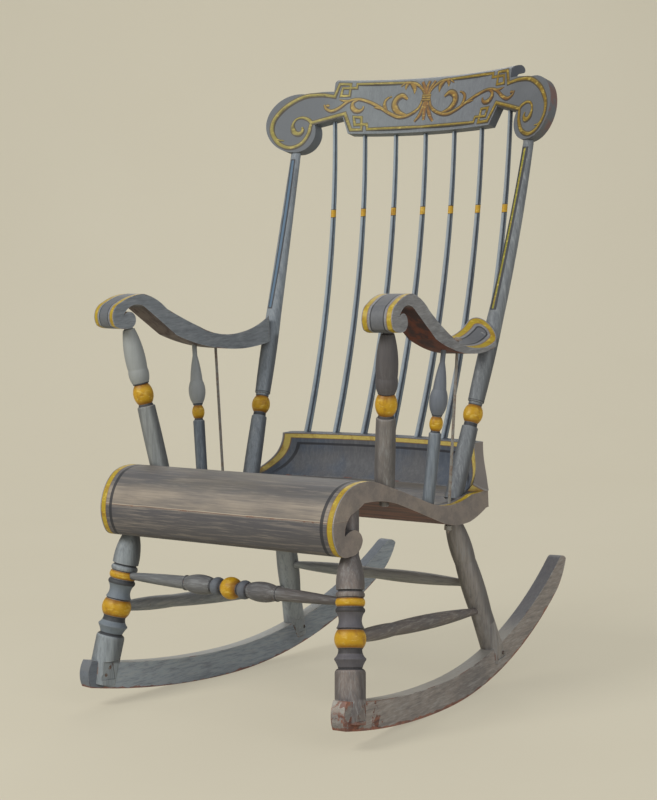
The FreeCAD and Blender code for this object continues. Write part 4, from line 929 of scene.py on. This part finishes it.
def ribbon_grid(path, widths, crown=1.0):
    """A closed strip carried along a path on the crest: each cross-section is a low crown
    above the paint and a flat back sunk below it; sides are square to the path, mitred at
    its corners. Returns points (stations, 6, 3), the share across (stations, 6) and how far
    each point lies towards the lower right, the side that carries a painted shade."""
    step = np.diff(path, axis=0)
    step = step / np.linalg.norm(step, axis=1)[:, None]
    before, after = np.vstack((step[:1], step)), np.vstack((step, step[-1:]))
    tangent = before + after
    tangent = tangent / np.linalg.norm(tangent, axis=1)[:, None]
    mitre = 1 / np.clip((tangent * after).sum(1), 0.5, 1)
    square = np.stack((-tangent[:, 1], tangent[:, 0]), axis=1)
    side = square * mitre[:, None]
    across = np.array((-1.0, -0.5, 0.0, 0.5, 1.0))
    lift = np.array((0.15, 0.85, 1.0, 0.85, 0.15)) * FILM * crown
    flat = path[:, None, :] + side[:, None, :] * (across[None, :, None]
                                                  * widths[:, None, None] / 2)
    top = crest_surface(flat[..., 0], flat[..., 1], lift[None, :])
    back = crest_surface(flat[:, 2, 0], flat[:, 2, 1], np.full(len(path), -FILM))
    points = np.concatenate((top, back[:, None, :]), axis=1)
    shares = np.broadcast_to(np.append(across, 0.0), points.shape[:2])
    return points, shares, shares * (square @ SHADE_SIDE)[:, None]


def strip_mesh(name, grids, made):
    """One piece from many closed strips: quads round each cross-section, fans at the ends."""
    points, faces, base = [], [], 0
    held = {"across": [], "shade": []}
    for grid, across, shade in grids:
        rows, ring = grid.shape[:2]
        index = base + np.arange(rows * ring).reshape(rows, ring)
        a, b = index[:-1], index[1:]
        quads = np.stack((a, np.roll(a, -1, 1), np.roll(b, -1, 1), b), axis=-1).reshape(-1, 4)
        faces += quads.tolist() + [index[0][::-1].tolist(), index[-1].tolist()]
        points.append(grid.reshape(-1, 3))
        held["across"].append(across.reshape(-1))
        held["shade"].append(shade.reshape(-1))
        base += rows * ring
    mesh = bpy.data.meshes.new(name)
    mesh.from_pydata(np.concatenate(points).tolist(), [], faces)
    for label, values in held.items():
        layer = mesh.attributes.new(label, "FLOAT", "POINT")
        layer.data.foreach_set("value", np.concatenate(values).astype(np.float32))
    mesh.validate()
    mesh.update()
    mesh.materials.append(made)
    piece = add(name, mesh)
    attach(piece, "root")


def ornament_paint(name, left, right, shade):
    """A painted line: its own yellow on either side of the chair, a painted shade towards the
    lower right, a painted highlight towards the upper left and dark rims."""
    highlight_pale, rim_dark = srgb(176, 160, 92), srgb(62, 58, 54)

    def fill(g, place):
        across, lower = (g.node("ShaderNodeAttribute", attribute_name=label).outputs["Fac"]
                         for label in ("across", "shade"))
        tone = by_side(g, place, left, right)
        yellow, rough = use(g, YELLOW_PAINT, place, tone, shade)
        # A painted highlight towards the upper left and a painted shade towards the lower
        # right.
        yellow = g.lay(yellow, highlight_pale, g.step(lower, -0.05, -0.40), 0.40)
        yellow = g.lay(yellow, shade, g.step(lower, 0.05, 0.45), 0.90)
        yellow = g.lay(yellow, rim_dark, g.step(g.absolute(across), 0.42, 0.78), 0.85)
        return yellow, rough, None

    return material(name, fill)


BORDER_PAINT = ornament_paint("border paint", srgb(128, 118, 40), srgb(126, 102, 30),
                              srgb(62, 52, 26))
VINE_PAINT = ornament_paint("vine paint", srgb(146, 120, 46), srgb(116, 82, 38),
                            srgb(58, 40, 24))
LEAF_PAINT = ornament_paint("leaf paint", srgb(134, 100, 44), srgb(118, 78, 38),
                            srgb(54, 36, 24))


def stroke(points, *widths):
    """A smooth brush line whose yellow runs evenly through the given widths, in millimetres."""
    path = smooth_path(points, STROKE_STATIONS)
    at = np.linspace(0, len(widths) - 1, STROKE_STATIONS)
    return path, np.interp(at, np.arange(len(widths)), widths) * MM * RIM_GAIN


def ruled(points, *widths):
    """A line of straight runs between corners; the last width holds to its end."""
    path = np.array(points, float) * MM
    held = widths + widths[-1:] * (len(points) - len(widths))
    return path, np.array(held) * MM * RIM_GAIN


def dab(centre, radius):
    """A round dab: stations across a disc whose widths follow its chord."""
    along = np.cos(np.linspace(math.pi, 0, DAB_STATIONS))
    path = np.stack((centre[0] + radius * along, np.full(DAB_STATIONS, centre[1])), axis=1)
    return path * MM, np.maximum(2 * radius * np.sqrt(1 - along ** 2), DAB_TIP) * MM


def both_sides(strokes):
    """Each stroke and its mirror image about the crest's middle."""
    grids = []
    for path, widths in strokes:
        grids.append(ribbon_grid(path, widths))
        turned = path * (-1, 1)
        grids.append(ribbon_grid(turned[::-1], widths[::-1]))
    return grids


# The border runs over the ear, down its outer side and round its foot, then along the notch
# and the panel. At each corner of the panel it makes a square key that crosses itself.
BORDER = [
    stroke([(198, 72), (226, 74.4), (258, 69.5), (287, 51), (306, 26), (310, 6), (305, -10),
            (291, -25), (271, -30.5), (251, -21.5), (240, -3), (238, 12), (237, 20)],
           4.6, 5.4, 6.0, 6.0, 5.6, 5.4, 5.4, 4.6),
    stroke([(236, 19.5), (244, 26), (256, 29), (267, 25), (272, 14), (268, 1), (259, -3),
            (253, 1), (252, 6), (254, 11)], 5.0, 4.6, 3.2, 3.4, 6.8, 6.4, 2.4),
    stroke([(306, -7), (297, -16), (284, -17.5)], 3.4, 3.2, 1.4),
    ruled([(204, 72.6), (198, 71.8), (191, 96.3), (169, 96.4), (168, 74), (186, 73.6),
           (184, 88.5), (155, 89), (155, 96.4), (54, 96.4)], 4.6, 4.8, 4.2, 3.6),
    ruled([(238, 19.2), (173, 39.3), (156, 8.3), (133, 8.3), (137, 32.2), (153, 33),
           (149, 18), (124, 19), (121, 9.5), (0, 10.5)], 5.4, 5.2, 4.6, 3.8),
]
VINES = [
    stroke([(8, 62), (14, 47), (31, 35.5), (54, 31), (76, 38), (98, 49.5), (122, 60.5),
            (147, 67), (168, 63.5), (186, 50), (200, 43.8), (212, 48), (217, 56)],
           3.4, 4.6, 5.2, 5.0, 4.6, 4.8, 4.6, 4.2, 4.6, 5.2, 2.6),
    stroke([(40, 34.5), (58, 40), (69, 53), (66, 66), (54, 71.5), (42, 65)],
           2.4, 6.6, 8.8, 8.6, 7.6, 3.4),
    stroke([(85, 43), (91, 54), (90, 64), (83, 70)], 3.6, 5.4, 4.4, 3.2),
    stroke([(148, 67), (158, 61.5), (159, 53), (153, 46), (144, 44), (137, 48), (136, 54)],
           3.2, 4.6, 6.4, 7.0, 5.0, 2.2),
    stroke([(166, 63.5), (178, 64), (188, 66.5)], 4.0, 3.6, 1.0),
    stroke([(96, 48.5), (105, 50), (114, 51)], 4.2, 3.8, 0.8),
    dab((209.5, 54), 3.9),
    dab((80, 70.5), 2.6),
]
FRONDS = [
    stroke([(5.5, 72), (9.5, 80), (18, 88), (29, 93.5), (42, 95.8), (58, 96.4)],
           3.4, 3.8, 4.4, 5.0, 4.4, 3.4),
    stroke([(38, 95), (30, 87), (28, 74)], 4.6, 7.6, 5.4, 0.8),
    stroke([(45, 95), (48.5, 90), (49, 83)], 4.6, 5.4, 0.8),
    stroke([(53, 96), (58, 92), (61, 89)], 3.6, 3.4, 0.8),
]
LEAVES = [
    stroke([(-1, 70), (-6, 84), (-13, 96.5)], 3.4, 5.0, 4.0),
    stroke([(3, 70), (8, 84), (17, 96.5)], 3.4, 5.0, 4.0),
    stroke([(0.5, 70), (0.5, 86), (4, 97)], 3.4, 5.6, 4.4),
    stroke([(-2, 62), (-5.5, 47), (-10, 33), (-20, 21)], 3.4, 5.2, 5.6, 3.4),
    stroke([(2, 62), (6.5, 47), (13, 32), (22, 20)], 3.4, 5.2, 5.6, 3.4),
    stroke([(0, 62), (-0.5, 42), (0.5, 23)], 3.6, 6.8, 4.0),
]
TIE = [ruled([(-10, level + 0.6), (0, level), (10, level + 0.2)], 3.8)
       for level in (61, 65.2, 69.4)]

strip_mesh("crest_border", both_sides(BORDER), BORDER_PAINT)
strip_mesh("crest_vines", both_sides(VINES), VINE_PAINT)
strip_mesh("crest_fronds", both_sides(FRONDS), VINE_PAINT)
strip_mesh("crest_leaves", [ribbon_grid(*line) for line in LEAVES], LEAF_PAINT)
strip_mesh("crest_tie", [ribbon_grid(*line, crown=2.0) for line in TIE], VINE_PAINT)


# Floor, backdrop, lamps and camera.

def backdrop_surface():
    """A floor that turns up into a wall: a profile of line, quarter circle and line, carried
    sideways, square to the camera's heading."""
    heading = Vector((CAMERA_FORWARD.x, CAMERA_FORWARD.y, 0)).normalized()
    sideways = Vector((heading.y, -heading.x, 0))
    near, far, bend, tall, half, stations = -6.0, 2.2, 1.6, 5.0, 8.0, 24
    turn = np.linspace(0, math.pi / 2, stations)
    out = np.concatenate(([near, 0.0], far + bend * np.sin(turn), [far + bend]))
    up = np.concatenate(([0.0, 0.0], bend - bend * np.cos(turn), [tall]))
    across = np.array((-half, half))
    points = (np.outer(out, tuple(heading))[:, None, :] + up[:, None, None] * (0, 0, 1)
              + across[None, :, None] * np.array(tuple(sideways)))
    index = np.arange(points.shape[0] * 2).reshape(-1, 2)
    quads = np.stack((index[:-1, 0], index[:-1, 1], index[1:, 1], index[1:, 0]), axis=-1)
    mesh = bpy.data.meshes.new("backdrop")
    mesh.from_pydata(points.reshape(-1, 3).tolist(), [], quads.tolist())
    for face in mesh.polygons:
        face.use_smooth = True
    piece = add("backdrop", mesh)
    return piece


def backdrop_material():
    """Warm pale paper, a little uneven; the camera sees it mostly at its own colour, and
    shadows still fall on it. It is clear from behind, so that the chair's back can be seen."""
    paper, paper_shade, own_colour_share = srgb(206, 200, 181), srgb(201, 194, 174), 0.62
    made, g, place = blank_material("backdrop paper")
    tone = g.mix(g.noise(place, 1.1, 5.0), paper, paper_shade)
    lit = g.node("ShaderNodeBsdfDiffuse", tone).outputs[0]
    glow = g.node("ShaderNodeEmission", tone, 1.0).outputs[0]
    path = g.node("ShaderNodeLightPath").outputs
    seen = g.math("MAXIMUM", path["Is Camera Ray"], g.math(
        "MAXIMUM", path["Is Glossy Ray"], path["Is Transmission Ray"]))
    front = g.node("ShaderNodeMixShader", g.product(seen, own_colour_share), lit, glow)
    behind = g.node("ShaderNodeNewGeometry").outputs["Backfacing"]
    clear = g.node("ShaderNodeBsdfTransparent").outputs[0]
    either = g.node("ShaderNodeMixShader", behind, front.outputs[0], clear)
    g.node("ShaderNodeOutputMaterial", either.outputs[0])
    return made


backdrop_surface().data.materials.append(backdrop_material())
CHAIR_MIDDLE = Vector((0.0, 0.0, 0.55))


def lamp(name, place, size, watts, colour=(1.0, 1.0, 1.0)):
    """A square soft lamp aimed at the chair's middle."""
    light = bpy.data.lights.new(name, "AREA")
    light.size = size
    light.energy = watts
    light.color = colour
    made = add(name, light)
    made.location = place
    made.rotation_euler = (CHAIR_MIDDLE - Vector(place)).to_track_quat("-Z", "Y").to_euler()


lamp("key", (-0.9, -3.2, 3.0), 1.5, 104.0, (1.0, 0.98, 0.95))
lamp("fill", (3.6, -1.2, 1.8), 2.4, 46.0, (0.95, 0.97, 1.0))
lamp("rim", (-2.2, 2.6, 2.6), 2.0, 40.0)

ROOM_COLOUR = (1.0, 0.99, 0.97, 1.0)
ROOM_LIGHT = 0.43
world = bpy.data.worlds.new("room")
world.use_nodes = True
background = world.node_tree.nodes["Background"].inputs
background[0].default_value = ROOM_COLOUR
background[1].default_value = ROOM_LIGHT
bpy.context.scene.world = world

camera_data = bpy.data.cameras.new("camera")
camera_data.sensor_fit = "VERTICAL"
camera_data.sensor_height = SENSOR_HEIGHT
camera_data.lens = FOCAL_PIXELS * SENSOR_HEIGHT / IMAGE_HEIGHT
camera_data.clip_end = 50.0
camera = add("camera", camera_data)
right = (CAMERA_RIGHT - CAMERA_FORWARD * CAMERA_RIGHT.dot(CAMERA_FORWARD)).normalized()
up = right.cross(CAMERA_FORWARD)
camera.matrix_world = Matrix.Translation(CAMERA_PLACE) @ Matrix(
    (right, up, -CAMERA_FORWARD)).transposed().to_4x4()
bpy.context.scene.camera = camera
bpy.context.scene.view_settings.view_transform = "Standard"
